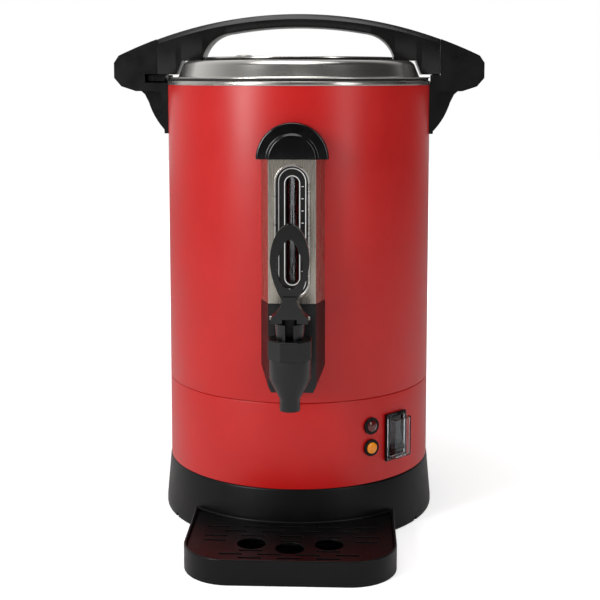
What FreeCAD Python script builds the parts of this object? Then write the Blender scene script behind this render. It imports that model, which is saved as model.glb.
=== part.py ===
import FreeCAD, Part
import math
import os
import re
import Sketcher
from FreeCAD import Placement, Rotation, Vector

# Coffee urn with a tap, a level gauge, a twist-off lid and a pull-out drip tray.
# Millimetres; +Z up, the tap towards -Y, origin on the urn's axis at the surface it stands on.

os.makedirs("parts", exist_ok=True)
doc = FreeCAD.newDocument("coffee_urn")

# Driving dimensions: alias, size, meaning
SIZES = [
    ("overcut", 2, "reach of a cutting tool past what it cuts"),
    ("hair", 0.001, "step between faces that would fall together"),
    ("body_r", 110, "outer radius of the painted jacket"),
    ("jacket_wall", 1, "sheet thickness of jacket and housing"),
    ("skirt_top", 43.5, "height of the black base skirt"),
    ("skirt_flare", 4, "flare of the skirt at its foot"),
    ("skirt_band", 5, "height of the straight band at the skirt's foot"),
    ("skirt_step", 0.5, "overhang of the skirt's top past the housing"),
    ("skirt_lip", 6, "reach of the skirt's top under the housing"),
    ("skirt_wall", 2.5, "wall of the moulded skirt"),
    ("shelf_height", 6, "height of the shelf inside the skirt"),
    ("shelf_width", 8, "width of the shelf inside the skirt"),
    ("notch_angle", 60, "place of the foot notches, from the front"),
    ("notch_width", 4, "width of a foot notch"),
    ("notch_height", 3, "height of a foot notch"),
    ("plate_wall", 2, "thickness of the base plate"),
    ("plate_gap", 0.6, "clearance of the base plate in the skirt"),
    ("housing_height", 68.8, "height of the lower housing"),
    ("lip_height", 6, "reach of the housing's lip inside the jacket"),
    ("lip_gap", 0.1, "clearance of the lip in the jacket"),
    ("jacket_length", 245.3, "height of the jacket"),
    ("bead_height", 3.6, "height of the tank's rolled rim"),
    ("bead_reach", 0.3, "overhang of the rolled rim past the jacket"),
    ("tank_gap", 5, "air gap between tank and jacket"),
    ("tank_wall", 0.8, "sheet thickness of the tank"),
    ("floor_rise", 15.7, "the tank's inner floor above the seam"),
    ("gasket_height", 1.8, "height of the lid gasket"),
    ("gasket_width", 5, "width of the lid gasket"),
    ("gasket_gap", 0.6, "gasket back from the tank's bore"),
    ("lid_wall", 0.8, "sheet thickness of the lid"),
    ("lid_height", 14.5, "height of the lid above its gasket"),
    ("flange_width", 8.7, "width of the lid's flange"),
    ("dome_lean", 4.6, "how far the lid's side leans in"),
    ("shoulder_width", 3.5, "width of the rounded lid shoulder"),
    ("shoulder_drop", 2.3, "height of the rounded lid shoulder"),
    ("ring_inset", 15.9, "black ring back from the lid's shoulder"),
    ("ring_width", 18, "width of the black ring"),
    ("ring_height", 1.4, "height of the black ring"),
    ("cap_inset", 0.9, "steel cap plate back from the black ring"),
    ("cap_bevel", 1, "bevel of the cap plate's edge"),
    ("cap_height", 1.5, "height of the steel cap plate"),
    ("seat_inset", 1.8, "flats of ring and plate back from the gap under the arch"),
    ("vent_stem_r", 3, "radius of the vent's stem"),
    ("vent_rim", 4.5, "overhang of the vent cap round its stem"),
    ("vent_height", 2.5, "height of the vent cap"),
    ("vent_bevel", 1.5, "bevel of the vent cap"),
    ("vent_tail", 1.5, "reach of the vent's stem under the lid"),
    ("vent_gap", 0.1, "clearance of the vent's stem"),
    ("vent_inset", 31.8, "vent back from the black ring's edge, across"),
    ("vent_y", 30, "steam vent, towards the back"),
    ("grip_rise", 38.5, "top of the arch above the lid"),
    ("arch_r", 345, "radius of the arch's upper line"),
    ("inner_arch_r", 320, "radius of the arch's lower line"),
    ("grip_thickness", 11, "arch thickness in the middle"),
    ("grip_depth", 34, "depth of the handles, front to back"),
    ("leg_inset", 16.7, "the arch's legs back from the lid's shoulder"),
    ("knee_inset", 24.8, "knee of the arch back from its leg"),
    ("shin_inset", 6.8, "middle of the bend under the knee, back from the leg"),
    ("shin_rise", 2.5, "middle of that bend above half height"),
    ("seat_gap", 0.1, "clearance of the lid handle over the lid"),
    ("dome_gap", 1.2, "clearance of the lid handle beside the dome"),
    ("lid_screw_out", 7.5, "lid screws out from the legs' inner face"),
    ("pilot_depth", 9, "depth of a screw's pilot hole, with its overcut"),
    ("screw_bite", 7, "reach of a screw into a moulding"),
    ("leg_overhang", 8.5, "reach of the lid handle past the jacket"),
    ("parting_gap", 0.4, "clearance between lid handle and side handles"),
    ("leg_lift", 2.2, "gap between lid flange and the handle's leg"),
    ("foot_gap", 2.3, "gap between the jacket and a locking foot"),
    ("foot_length", 14.6, "length of the locking foot, outwards"),
    ("foot_height", 5.1, "height of the locking foot"),
    ("foot_step", 0.4, "the foot's top below the leg's end"),
    ("foot_depth", 24, "depth of the locking foot"),
    ("slot_gap", 1.3, "clearance of the foot in its slot"),
    ("slot_rise", 0.5, "top of the slot above the leg's end"),
    ("slot_end", 1, "clearance behind the foot's tip, past the slot's own"),
    ("slot_stop", 1, "gap between the foot and the wall that stops it in the slot"),
    ("handle_length", 44, "reach of a side handle past the jacket"),
    ("handle_root", 8, "reach of the handle's outline inside the jacket before trimming"),
    ("arm_floor", 7, "thickness of a side handle under its slot"),
    ("tip_bevel", 4, "bevel at the tip of a side handle, upper"),
    ("tip_fall", 6, "bevel at the tip of a side handle, lower"),
    ("web_width", 9, "width of the web under a side handle"),
    ("web_reach", 25.9, "the web's upper end, out from the jacket"),
    ("elbow_reach", 20.4, "the web's elbow, out from the jacket"),
    ("elbow_drop", 2.8, "the web's elbow, down from the arm"),
    ("waist_reach", 17, "the web's waist, out from the jacket"),
    ("waist_drop", 9.6, "the web's waist, down from the arm"),
    ("belly_reach", 11.7, "middle of the web's bend, out from the jacket"),
    ("belly_drop", 22, "middle of the web's bend, down from the arm"),
    ("toe_reach", 1.5, "the web's lower end, out from the jacket"),
    ("handle_plate", 5, "thickness of a side handle's plate at its top"),
    ("handle_plate_foot", 2, "thickness of that plate at its foot"),
    ("handle_drop", 40.7, "foot of a side handle below the jacket's top"),
    ("screw_low", 13, "lower handle screw above the handle's foot"),
    ("screw_pitch", 20, "pitch of the handle screws"),
    ("screw_r", 2, "radius of a screw"),
    ("screw_gap", 0.2, "clearance of a screw in sheet metal"),
    ("screw_rim", 1.6, "rim of a screw head round its shank"),
    ("screw_head_height", 2.4, "height of a screw head"),
    ("seating", 0.05, "small lap that keeps the handle screws in touch with the jacket"),
    ("column_depth", 15, "front of the gauge column out from the jacket"),
    ("column_half_front", 18, "half width of the column's front"),
    ("column_cheek", 6.5, "how much wider the column is at the jacket, each side"),
    ("cheek_depth", 3, "depth of the column's straight sides"),
    ("cover_tuck", 9, "reach of the column's outline inside the jacket before trimming"),
    ("column_wall", 1.2, "wall of the column cover"),
    ("foot_rise", 42.2, "joint between cover and column foot above the tap's inlet"),
    ("cover_drop", 54.6, "joint between cover and column cap below the jacket's top"),
    ("column_cap_lap", 3, "overhang of the column cap past the cover"),
    ("cap_setback", 1.5, "column cap back from the column's front"),
    ("cap_face_rise", 2.3, "raised face of the column cap over the cap"),
    ("column_foot_drop", 26.5, "lowest point of the column foot below the tap's inlet"),
    ("column_foot_taper", 18, "height of the taper of the column foot"),
    ("column_foot_inset", 2, "column foot's lower edge back from the column's front edge"),
    ("column_foot_wall", 2, "wall of the column foot"),
    ("foot_proud", 0.3, "column foot proud of the cover"),
    ("fit_gap", 0.05, "clearance of the covers on the curved jacket"),
    ("window_inset", 4.2, "gauge window back from the column's front edge"),
    ("window_low", 3.3, "gauge window above the cover's lower end"),
    ("window_high", 3.5, "gauge window below the cover's upper end"),
    ("window_reach", 6, "reach of the window's cutter behind the cover's front"),
    ("frame_gap", 0.1, "clearance of the frame in the window"),
    ("frame_width", 1.6, "width of the rolled window frame"),
    ("frame_depth", 4.6, "depth of the rolled window frame"),
    ("frame_proud", 0.8, "window frame proud of the cover"),
    ("scale_inset", 0.4, "scale plate back from the window's edge"),
    ("slit_gap", 0.65, "slit in the scale plate round the tube, each side"),
    ("slit_low", 11.6, "slit above the window's lower end"),
    ("slit_high", 10.2, "slit below the window's upper end"),
    ("scale_wall", 1, "thickness of the scale plate"),
    ("scale_gap", 0.1, "clearance between grommets and scale plate"),
    ("tube_r", 4, "outer radius of the sight tube"),
    ("tube_wall", 0.9, "wall of the sight tube"),
    ("tube_out", 6, "sight tube out from the jacket"),
    ("tube_inset", 1, "ends of the sight tube inside the cover's ends"),
    ("grommet_wall", 3, "wall of a tube grommet"),
    ("grommet_height", 6, "height of a tube grommet"),
    ("pipe_gap", 0.1, "clearance of the gauge pipe in the sight tube"),
    ("pipe_wall", 1, "wall of the gauge pipe"),
    ("pipe_reach", 10, "reach of the gauge pipe into the sight tube"),
    ("pipe_dip", 0.5, "reach of the gauge pipe into the shank's bore"),
    ("pipe_hole_gap", 0.2, "clearance of the gauge pipe in the column foot"),
    ("tap_reach", 48, "tap axis out from the jacket"),
    ("tap_rise", 23.5, "tap's inlet above the tank's floor"),
    ("shank_r", 8, "outer radius of the tap shank"),
    ("shank_wall", 3, "wall of the tap shank"),
    ("shank_inset", 9.2, "reach of the shank inside the tank"),
    ("shank_clearance", 0.4, "clearance round the shank"),
    ("nut_ledge", 5, "the shank nut's flats out from the shank"),
    ("nut_height", 5, "height of the shank nut"),
    ("washer_height", 3, "thickness of the tap gasket"),
    ("boss_rim", 0.5, "inlet boss round the shank"),
    ("boss_gap", 0.6, "gap between column foot and the tap's boss"),
    ("spout_r", 7.65, "outer radius of the spout"),
    ("spout_wall", 1.65, "wall of the spout"),
    ("spout_drop", 30.5, "lower end of the spout below the tap's inlet"),
    ("spout_length", 9, "straight length of the spout"),
    ("taper_length", 15, "length of the tap's taper"),
    ("tap_r", 15.5, "outer radius of the tap body"),
    ("seat_rise", 1, "valve seat above the taper"),
    ("chamber_wall", 2.9, "wall of the valve chamber"),
    ("collar_rim", 0.25, "the collar's flats proud of the tap body"),
    ("collar_height", 14.5, "height of the tap collar"),
    ("collar_lip", 4.5, "thickness of the collar's upper lip"),
    ("collar_gap", 0.7, "clearance of the bonnet in the collar"),
    ("bonnet_inset", 3, "bonnet's foot back from the chamber's wall"),
    ("bonnet_gap", 0.1, "clearance of the bonnet's flange in the chamber"),
    ("bonnet_flare", 1.4, "how much wider the bonnet is at its top"),
    ("bonnet_height", 11.5, "height of the bonnet above the collar"),
    ("bonnet_web", 3, "web of the bonnet under the collar's lip"),
    ("bonnet_slot", 6, "width of the bonnet's front slot"),
    ("slot_dip", 1, "bottom of the bonnet's slot below the collar's top"),
    ("stem_r", 3, "radius of the valve stem"),
    ("stem_head_rim", 2, "rim of the stem's head round the stem"),
    ("stem_head_flat", 3.2, "half depth of the stem's head over its flats"),
    ("stem_head_drop", 10, "stem's head below the bonnet's top"),
    ("stem_head_rise", 6, "stem's head above the bonnet's top"),
    ("stem_gap", 0.3, "clearance of the stem in the bonnet"),
    ("head_gap", 0.4, "clearance of the stem's head in bonnet and lever"),
    ("cup_inset", 3.1, "gap between seat cup and chamber wall"),
    ("cup_gap", 0.5, "clearance of the seat cup in the bonnet"),
    ("cup_height", 10, "height of the seat cup"),
    ("cup_floor", 3, "the cup's thickness under the stem"),
    ("seat_rest", 0.05, "seat cup above its seat"),
    ("spring_inset", 3.7, "tap spring back from the cup's edge"),
    ("spring_wall", 1.2, "wire thickness of the tap spring"),
    ("pin_rise", 3.5, "lever pin above the bonnet"),
    ("pin_r", 1.5, "radius of the lever pin"),
    ("pin_gap", 0.06, "clearance of the pin in the stem"),
    ("pin_overhang", 1.3, "reach of the pin's ends past the lever's skirt"),
    ("skirt_half", 13.5, "half width of the lever's skirt"),
    ("lever_foot", 6.5, "half depth of the lever's skirt"),
    ("lever_rest_gap", 0.3, "gap between lever skirt and bonnet"),
    ("cheek_height", 4.4, "straight sides of the lever's skirt"),
    ("cheek_bow", 2.4, "middle of the skirt's bend out from the neck"),
    ("cheek_bow_height", 11, "middle of the skirt's bend above its foot"),
    ("neck_rise", 20, "the lever's neck above the bonnet"),
    ("lever_neck_half", 5.15, "half width of the lever's neck"),
    ("lever_length", 72.5, "top of the lever above the bonnet"),
    ("lever_half", 14.35, "half width of the lever's loop"),
    ("lever_band", 4.6, "width of the loop's side"),
    ("loop_lap", 4, "lap of the loop into the neck"),
    ("loop_drop", 1, "widest point of the loop below its middle"),
    ("hole_rise", 5.3, "loop's hole above the neck"),
    ("hole_drop", 10.7, "loop's hole below the top"),
    ("lever_half_depth", 4.5, "half depth of the lever's loop"),
    ("switch_angle", 46.5, "place of the rocker switch, from the front"),
    ("switch_rise", 34.5, "the switch's middle above the skirt"),
    ("switch_half", 10, "half width of the switch's barrel"),
    ("switch_half_tall", 17.3, "half height of the switch's barrel"),
    ("switch_depth", 22, "depth of the switch behind its bezel"),
    ("bezel_side", 1.5, "bezel past the barrel, sideways"),
    ("bezel_end", 1.7, "bezel past the barrel, up and down"),
    ("bezel_wall", 2.1, "thickness of the switch bezel"),
    ("well_floor", 3, "floor of the switch's well"),
    ("rocker_inset", 2.2, "rocker back from the barrel's side"),
    ("rocker_end_inset", 4.1, "rocker back from the barrel's ends"),
    ("rocker_front", 8, "rocker face in front of its pivot"),
    ("rocker_edge", 2, "lower edge of the rocker in front of its pivot"),
    ("rocker_root", 3, "depth of the rocker behind its pivot"),
    ("rocker_root_half", 5, "half height of the rocker's root"),
    ("pivot_inset", 7, "rocker pivot back from the jacket's radius"),
    ("pivot_r", 1.5, "radius of the rocker's pivot pins"),
    ("pivot_reach", 1.1, "reach of the pivot pins into the barrel"),
    ("pivot_gap", 0.1, "clearance of the pivot pins"),
    ("rocker_angle", 8, "tip of the rocker from its middle"),
    ("rocker_gap", 0.4, "side clearance of the rocker"),
    ("rocker_end_gap", 1.8, "end clearance of the rocker"),
    ("boot_inset", 0.4, "the boot's flange back from the bezel's edge"),
    ("boot_height", 7.5, "height of the clear boot over the bezel"),
    ("boot_wall", 1, "wall of the clear boot"),
    ("lamp_angle", 33.4, "place of the pilot lamps, from the front"),
    ("lamp_high_rise", 46.6, "upper lamp above the skirt"),
    ("lamp_low_rise", 29, "lower lamp above the skirt"),
    ("lamp_r", 5, "radius of a lamp's barrel"),
    ("lamp_rim", 1.75, "rim of a lamp's ring round its barrel"),
    ("lamp_ring_height", 2, "height of a lamp's ring"),
    ("lamp_wall", 0.6, "wall of a lamp's barrel"),
    ("lens_depth", 6, "depth of a lens in its barrel"),
    ("lens_proud", 1.5, "lens proud of its ring"),
    ("lens_dome_r", 9, "radius of a lens's domed front"),
    ("lamp_depth", 16, "depth of a lamp behind its ring"),
    ("panel_gap", 0.4, "clearance of switch, lamps and inlet in the housing"),
    ("panel_reach", 12, "reach of a hole's cutter on both sides of the sheet"),
    ("inlet_rise", 32.5, "the mains inlet above the skirt"),
    ("inlet_half", 13.5, "half width of the inlet's body"),
    ("inlet_half_tall", 10, "half height of the inlet's body"),
    ("inlet_flange", 3.5, "flange of the inlet round its body"),
    ("inlet_lip", 2.2, "thickness of that flange"),
    ("inlet_depth", 20, "depth of the inlet"),
    ("cavity_side", 1.5, "wall beside the inlet's cavity"),
    ("cavity_end", 2, "wall above and below the inlet's cavity"),
    ("cavity_depth", 15, "depth of the inlet's cavity"),
    ("blade_half", 1, "half thickness of an inlet pin"),
    ("blade_half_tall", 2, "half height of an inlet pin"),
    ("blade_length", 11, "length of an inlet pin"),
    ("blade_pitch", 7, "pitch of the inlet pins"),
    ("blade_stagger", 1.5, "earth pin below the middle and the others above it"),
    ("element_r", 45, "radius of the boiling element's loop"),
    ("element_tube_r", 4.2, "radius of the boiling element's tube"),
    ("element_opening", 30, "open angle of the boiling element"),
    ("warm_r", 25, "radius of the keep-warm element's loop"),
    ("warm_tube_r", 3, "radius of the keep-warm element's tube"),
    ("warm_opening", 50, "open angle of the keep-warm element"),
    ("clamp_rim", 7, "clamp plate past the boiling element's loop"),
    ("clamp_wall", 1.5, "thickness of the clamp plate"),
    ("clamp_nut", 3, "height of the clamp's nut"),
    ("stud_r", 3, "radius of the clamp stud"),
    ("thermostat_r", 6, "radius of a thermostat"),
    ("thermostat_height", 8, "height of a thermostat"),
    ("thermostat_gap", 0.3, "thermostats back from the boiling element"),
    ("fuse_r", 2.5, "radius of the thermal fuse"),
    ("fuse_length", 14, "length of the thermal fuse"),
    ("fuse_gap", 4, "gap between clamp plate and fuse"),
    ("block_place", 50, "terminal block from the axis"),
    ("block_length", 40, "length of the terminal block"),
    ("block_width", 16, "width of the terminal block"),
    ("block_height", 12, "height of the terminal block"),
    ("bell_r", 30, "foot radius of the pump bell"),
    ("bell_band", 3, "straight band at the bell's foot"),
    ("bell_height", 22, "height of the pump bell"),
    ("bell_neck", 8, "length of the bell's neck"),
    ("port_half", 4, "half width of the bell's water ports"),
    ("port_height", 5, "height of the bell's water ports"),
    ("pump_r", 5, "outer radius of the pump tube"),
    ("pump_wall", 0.8, "wall of the pump tube"),
    ("pump_rise", 77, "top of the pump tube above the basket's floor"),
    ("basket_drop", 89.6, "underside of the coffee basket below the jacket's top"),
    ("basket_r", 72, "outer radius of the coffee basket"),
    ("basket_height", 57, "height of the coffee basket"),
    ("basket_wall", 0.8, "sheet thickness of the basket"),
    ("basket_gap", 0.3, "clearance of the basket on the pump tube"),
    ("basket_lip", 2, "lip of the coffee basket"),
    ("basket_lid_rim", 4, "height of the basket lid's rim"),
    ("stop_rim", 4, "rim of the basket's stop round the pump tube"),
    ("stop_height", 3, "height of the basket's stop"),
    ("sieve_hole_r", 1.6, "radius of a sieve hole"),
    ("valve_r", 8, "radius of the pump valve disc"),
    ("valve_wall", 1, "thickness of the pump valve disc"),
    ("tray_half", 79.5, "half width of the drip tray"),
    ("tray_reach", 81, "front of the drip tray out from the jacket"),
    ("tray_root", 50, "reach of the tray's outline inside the jacket before trimming"),
    ("tray_height", 19.5, "height of the drip tray"),
    ("tray_corner", 36, "radius of the tray's front corners"),
    ("tray_wall", 2.2, "wall of the drip tray"),
    ("tray_floor", 2, "floor thickness of the drip tray"),
    ("tray_ledge", 2, "width of the ledge under the grate"),
    ("tray_gap", 0.5, "gap between drip tray and skirt"),
    ("grate_wall", 1.6, "thickness of the grate"),
    ("grate_drop", 2.4, "grate below the tray's rim"),
    ("grate_gap", 0.4, "clearance of the grate in the tray"),
    ("grate_hole_r", 10.75, "radius of a round grate hole"),
    ("middle_hole_inset", 29.4, "middle grate hole back from the tray's front"),
    ("side_hole_inset", 37.5, "side grate holes back from the tray's front"),
    ("side_hole_x", 29, "side grate holes from the middle"),
    ("hole_rim", 1.5, "solid rim round a grate hole"),
    ("dash_length", 17.2, "length of a grate slot"),
    ("dash_width", 2.4, "width of a grate slot"),
    ("dash_pitch", 28.6, "pitch of the grate slots along a row"),
    ("dash_edge", 5, "solid edge beside the grate's slots"),
    ("dash_back", 6, "solid edge between the skirt and the grate's slots"),
    ("dash_corner", 21.5, "corner of the grate kept solid, back and in from the sides"),
]
# Sizes that follow from those: alias, formula, meaning
FOLLOWING = [
    ("skirt_r", "body_r + skirt_flare", "outer radius of the skirt at its foot"),
    ("seam_height", "skirt_top + housing_height", "seam between lower housing and jacket"),
    ("jacket_top", "seam_height + jacket_length", "top edge of the jacket"),
    ("tank_floor", "seam_height + floor_rise", "height of the tank's inner floor"),
    ("dome_foot_r", "body_r - flange_width", "lid dome radius above its flange"),
    ("dome_top_r", "dome_foot_r - dome_lean", "lid dome radius at its shoulder"),
    ("ring_r", "dome_top_r - ring_inset", "outer radius of the black ring on the lid"),
    ("vent_r", "vent_stem_r + vent_rim", "radius of the steam vent cap"),
    ("vent_x", "vent_inset - ring_r", "steam vent, across"),
    ("arch_gap_half", "dome_top_r - leg_inset", "half width of the gap under the arch"),
    ("parting_r", "body_r + leg_overhang", "joint between lid handle and side handles"),
    ("foot_inner_r", "body_r + foot_gap", "inner radius of the locking foot"),
    ("foot_outer_r", "foot_inner_r + foot_length", "outer radius of the locking foot"),
    ("handle_reach", "body_r + handle_length", "tip of a side handle from the axis"),
    ("handle_bottom", "jacket_top - handle_drop", "lowest point of a side handle"),
    ("screw_head_r", "screw_r + screw_rim", "radius of a screw head"),
    ("column_front", "body_r + column_depth", "front of the gauge column from the axis"),
    ("column_half_back", "column_half_front + column_cheek", "half width of the column at the jacket"),
    ("tap_y", "body_r + tap_reach", "tap axis from the urn's axis"),
    ("tap_height", "tank_floor + tap_rise", "height of the tap's inlet"),
    ("cover_bottom", "tap_height + foot_rise", "joint between column cover and its foot"),
    ("cover_top", "jacket_top - cover_drop", "joint between column cover and its cap"),
    ("column_cap_r", "column_half_back + column_cap_lap", "radius of the half-round column cap"),
    ("cap_face_r", "column_half_front", "radius of the raised face of the column cap"),
    ("column_foot_bottom", "tap_height - column_foot_drop", "lowest point of the column foot"),
    ("column_foot_corner", "column_foot_bottom + column_foot_taper", "start of the foot's taper"),
    ("column_foot_half", "column_half_front - column_foot_inset", "half width of the foot's lower edge"),
    ("window_half", "column_half_front - window_inset", "half width of the gauge window"),
    ("window_bottom", "cover_bottom + window_low", "lower end of the gauge window"),
    ("window_top", "cover_top - window_high", "upper end of the gauge window"),
    ("slit_half", "tube_r + slit_gap", "half width of the slit in the scale plate"),
    ("slit_bottom", "window_bottom + slit_low", "lower end of the slit"),
    ("slit_top", "window_top - slit_high", "upper end of the slit"),
    ("tube_bore_r", "tube_r - tube_wall", "bore of the sight tube"),
    ("tube_y", "body_r + tube_out", "sight tube from the axis"),
    ("grommet_r", "tube_r + grommet_wall", "outer radius of a tube grommet"),
    ("pipe_r", "tube_bore_r - pipe_gap", "outer radius of the gauge pipe"),
    ("pipe_bore_r", "pipe_r - pipe_wall", "bore of the gauge pipe"),
    ("shank_bore_r", "shank_r - shank_wall", "bore of the tap shank"),
    ("nut_flats", "(shank_r + nut_ledge) * 2", "width of the shank nut across flats"),
    ("boss_r", "shank_r + boss_rim", "radius of the tap's inlet boss"),
    ("spout_bore_r", "spout_r - spout_wall", "bore of the spout"),
    ("spout_bottom", "tap_height - spout_drop", "lower end of the spout"),
    ("taper_bottom", "spout_bottom + spout_length", "lower end of the tap's taper"),
    ("taper_top", "taper_bottom + taper_length", "upper end of the tap's taper"),
    ("tap_top", "tap_height + boss_r", "top of the tap body"),
    ("seat_height", "taper_top + seat_rise", "valve seat"),
    ("chamber_r", "tap_r - chamber_wall", "radius of the valve chamber"),
    ("collar_flats", "(tap_r + collar_rim) * 2", "width of the tap collar across flats"),
    ("collar_top", "tap_top + collar_height", "top of the tap collar"),
    ("bonnet_foot_r", "chamber_r - bonnet_inset", "bonnet radius in the collar"),
    ("bonnet_top_r", "bonnet_foot_r + bonnet_flare", "bonnet radius at its top"),
    ("bonnet_top", "collar_top + bonnet_height", "top of the bonnet"),
    ("stem_head_r", "stem_r + stem_head_rim", "radius of the stem's head"),
    ("stem_top", "bonnet_top + stem_head_rise", "top of the stem"),
    ("cup_r", "chamber_r - cup_inset", "radius of the silicone seat cup"),
    ("spring_r", "cup_r - spring_inset", "outer radius of the tap spring"),
    ("pin_height", "bonnet_top + pin_rise", "height of the lever pin"),
    ("pin_half", "skirt_half + pin_overhang", "half length of the lever pin"),
    ("lever_neck", "bonnet_top + neck_rise", "height of the lever's neck"),
    ("lever_top", "bonnet_top + lever_length", "top of the lever"),
    ("lever_hole_half", "lever_half - lever_band", "half width of the loop's hole"),
    ("lever_hole_bottom", "lever_neck + hole_rise", "lower end of the loop's hole"),
    ("lever_hole_top", "lever_top - hole_drop", "upper end of the loop's hole"),
    ("switch_height", "skirt_top + switch_rise", "height of the switch's middle"),
    ("bezel_half", "switch_half + bezel_side", "half width of the switch bezel"),
    ("bezel_half_tall", "switch_half_tall + bezel_end", "half height of the switch bezel"),
    ("rocker_half", "switch_half - rocker_inset", "half width of the rocker"),
    ("rocker_half_tall", "switch_half_tall - rocker_end_inset", "half height of the rocker"),
    ("rocker_pivot", "body_r - pivot_inset", "rocker pivot from the urn's axis"),
    ("lamp_high", "skirt_top + lamp_high_rise", "height of the upper lamp"),
    ("lamp_low", "skirt_top + lamp_low_rise", "height of the lower lamp"),
    ("lamp_ring_r", "lamp_r + lamp_rim", "outer radius of a lamp's ring"),
    ("lens_r", "lamp_r - lamp_wall", "radius of a lamp's lens"),
    ("inlet_height", "skirt_top + inlet_rise", "height of the mains inlet"),
    ("cavity_half", "inlet_half - cavity_side", "half width of the inlet's cavity"),
    ("cavity_half_tall", "inlet_half_tall - cavity_end", "half height of the inlet's cavity"),
    ("clamp_r", "element_r + clamp_rim", "radius of the clamp plate"),
    ("thermostat_place", "element_r - element_tube_r - thermostat_r - thermostat_gap",
     "thermostats from the axis"),
    ("pump_bore_r", "pump_r - pump_wall", "bore of the pump tube"),
    ("basket_bottom", "jacket_top - basket_drop", "underside of the coffee basket"),
    ("pump_top", "basket_bottom + pump_rise", "top of the pump tube"),
    ("stop_r", "pump_r + stop_rim", "radius of the basket's stop on the pump tube"),
    ("tray_front", "body_r + tray_reach", "front of the drip tray from the axis"),
]
sheet = doc.addObject("Spreadsheet::Sheet", "Sizes")
for row, (alias, size, meaning) in enumerate(SIZES + FOLLOWING, 1):
    sheet.set(f"A{row}", meaning)
    sheet.set(f"B{row}", f"={size}")
    sheet.setAlias(f"B{row}", alias)
doc.recompute()
ALIASES = {alias for alias, _, _ in SIZES + FOLLOWING}


def bound(formula):
    """The formula with each alias pointed at its cell of the sheet."""
    return re.sub(r"[a-z][a-z_]+", lambda word: cell(word.group()), str(formula))


def cell(word):
    return f"Sizes.{word}" if word in ALIASES else word


def value(formula):
    """The present size of a formula of aliases."""
    return float(sheet.evalExpression(bound(formula)))


def neg(formula):
    return f"-({formula})"


# Levels and radii worked out from the driving dimensions
jacket_bore = "body_r - jacket_wall"
tank_r = "body_r - jacket_wall - tank_gap"
tank_bore = "body_r - jacket_wall - tank_gap - tank_wall"
bead_top = "jacket_top + bead_height"
lid_bottom = bead_top + " + gasket_height"
deck_top = lid_bottom + " + lid_height"
ring_top = deck_top + " + ring_height"
cap_top = ring_top + " + cap_height"
leg_bottom = lid_bottom + " + lid_wall + leg_lift"
foot_bottom = leg_bottom + " - foot_height - foot_step"
slot_bottom = foot_bottom + " - slot_gap"
slot_top = leg_bottom + " + slot_rise"
floor_under = "tank_floor - tank_wall"
arch_top = deck_top + " + grip_rise"
total_height = value(arch_top)
pieces = {}


def plane_of(body, role):
    return next(part for part in body.Origin.OriginFeatures if part.Role == role)


def fix(sketch, kind, geometry, point, formula):
    """Holds one point of the sketch at a distance, given as a formula, from the origin."""
    constraint = Sketcher.Constraint(kind, -1, 1, geometry, point, value(formula))
    index = sketch.addConstraint(constraint)
    sketch.setExpression(f"Constraints[{index}]", bound(formula))


def new_sketch(body, name, role, height="0"):
    sketch = body.newObject("Sketcher::SketchObject", name)
    sketch.AttachmentSupport = [(plane_of(body, role), "")]
    sketch.MapMode = "FlatFace"
    sketch.setExpression(".AttachmentOffset.Base.z", bound(height))
    return sketch


def add_polygon(sketch, corners):
    """A closed outline; each corner is a pair of formulas, across and up."""
    first = sketch.GeometryCount
    count = len(corners)
    places = [Vector(value(across), value(up), 0) for across, up in corners]
    for start, end in zip(places, places[1:] + places[:1]):
        sketch.addGeometry(Part.LineSegment(start, end))
    for line in range(count):
        following = first + (line + 1) % count
        sketch.addConstraint(Sketcher.Constraint("Coincident", first + line, 2, following, 1))
    for line, (across, up) in enumerate(corners):
        fix(sketch, "DistanceX", first + line, 1, across)
        fix(sketch, "DistanceY", first + line, 1, up)


def add_circle(sketch, across, up, radius):
    place = Vector(value(across), value(up), 0)
    index = sketch.addGeometry(Part.Circle(place, Vector(0, 0, 1), value(radius)))
    constraint = sketch.addConstraint(Sketcher.Constraint("Radius", index, value(radius)))
    sketch.setExpression(f"Constraints[{constraint}]", bound(radius))
    fix(sketch, "DistanceX", index, 3, across)
    fix(sketch, "DistanceY", index, 3, up)


def keep(name, made):
    """Names the object and keeps it as a piece."""
    made.Label = name
    pieces[name] = made
    return made


def new_body(name, place=("0", "0", "0"), turn=None, kept=True):
    """A body at a place given as formulas, turned about the vertical axis if asked."""
    body = doc.addObject("PartDesign::Body", name)
    body.Label = name
    body.Placement = Placement(Vector(), Rotation(Vector(0, 0, 1), 1 if turn else 0))
    for axis, formula in zip("xyz", place):
        body.setExpression(f"Placement.Base.{axis}", bound(formula))
    if turn:
        body.setExpression("Placement.Rotation.Angle", bound(turn))
    if kept:
        pieces[name] = body
    return body


def revolve(body, corners, kind="PartDesign::Revolution"):
    """Turns an outline of (radius, height) corners about the body's vertical axis."""
    sketch = new_sketch(body, f"{body.Name}_profile", "XZ_Plane")
    add_polygon(sketch, corners)
    feature = body.newObject(kind, f"{body.Name}_turned")
    feature.Profile = sketch
    feature.ReferenceAxis = (sketch, ["V_Axis"])
    feature.Angle = 360
    return feature


def pad(body, role, height, length, polygons=(), circles=()):
    """Raises polygons and circles drawn in a plane at a height along its normal."""
    sketch = new_sketch(body, f"{body.Name}_outline", role, height)
    draw(sketch, polygons, circles)
    feature = body.newObject("PartDesign::Pad", f"{body.Name}_raised")
    feature.Profile = sketch
    feature.setExpression("Length", bound(length))
    return feature


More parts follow.
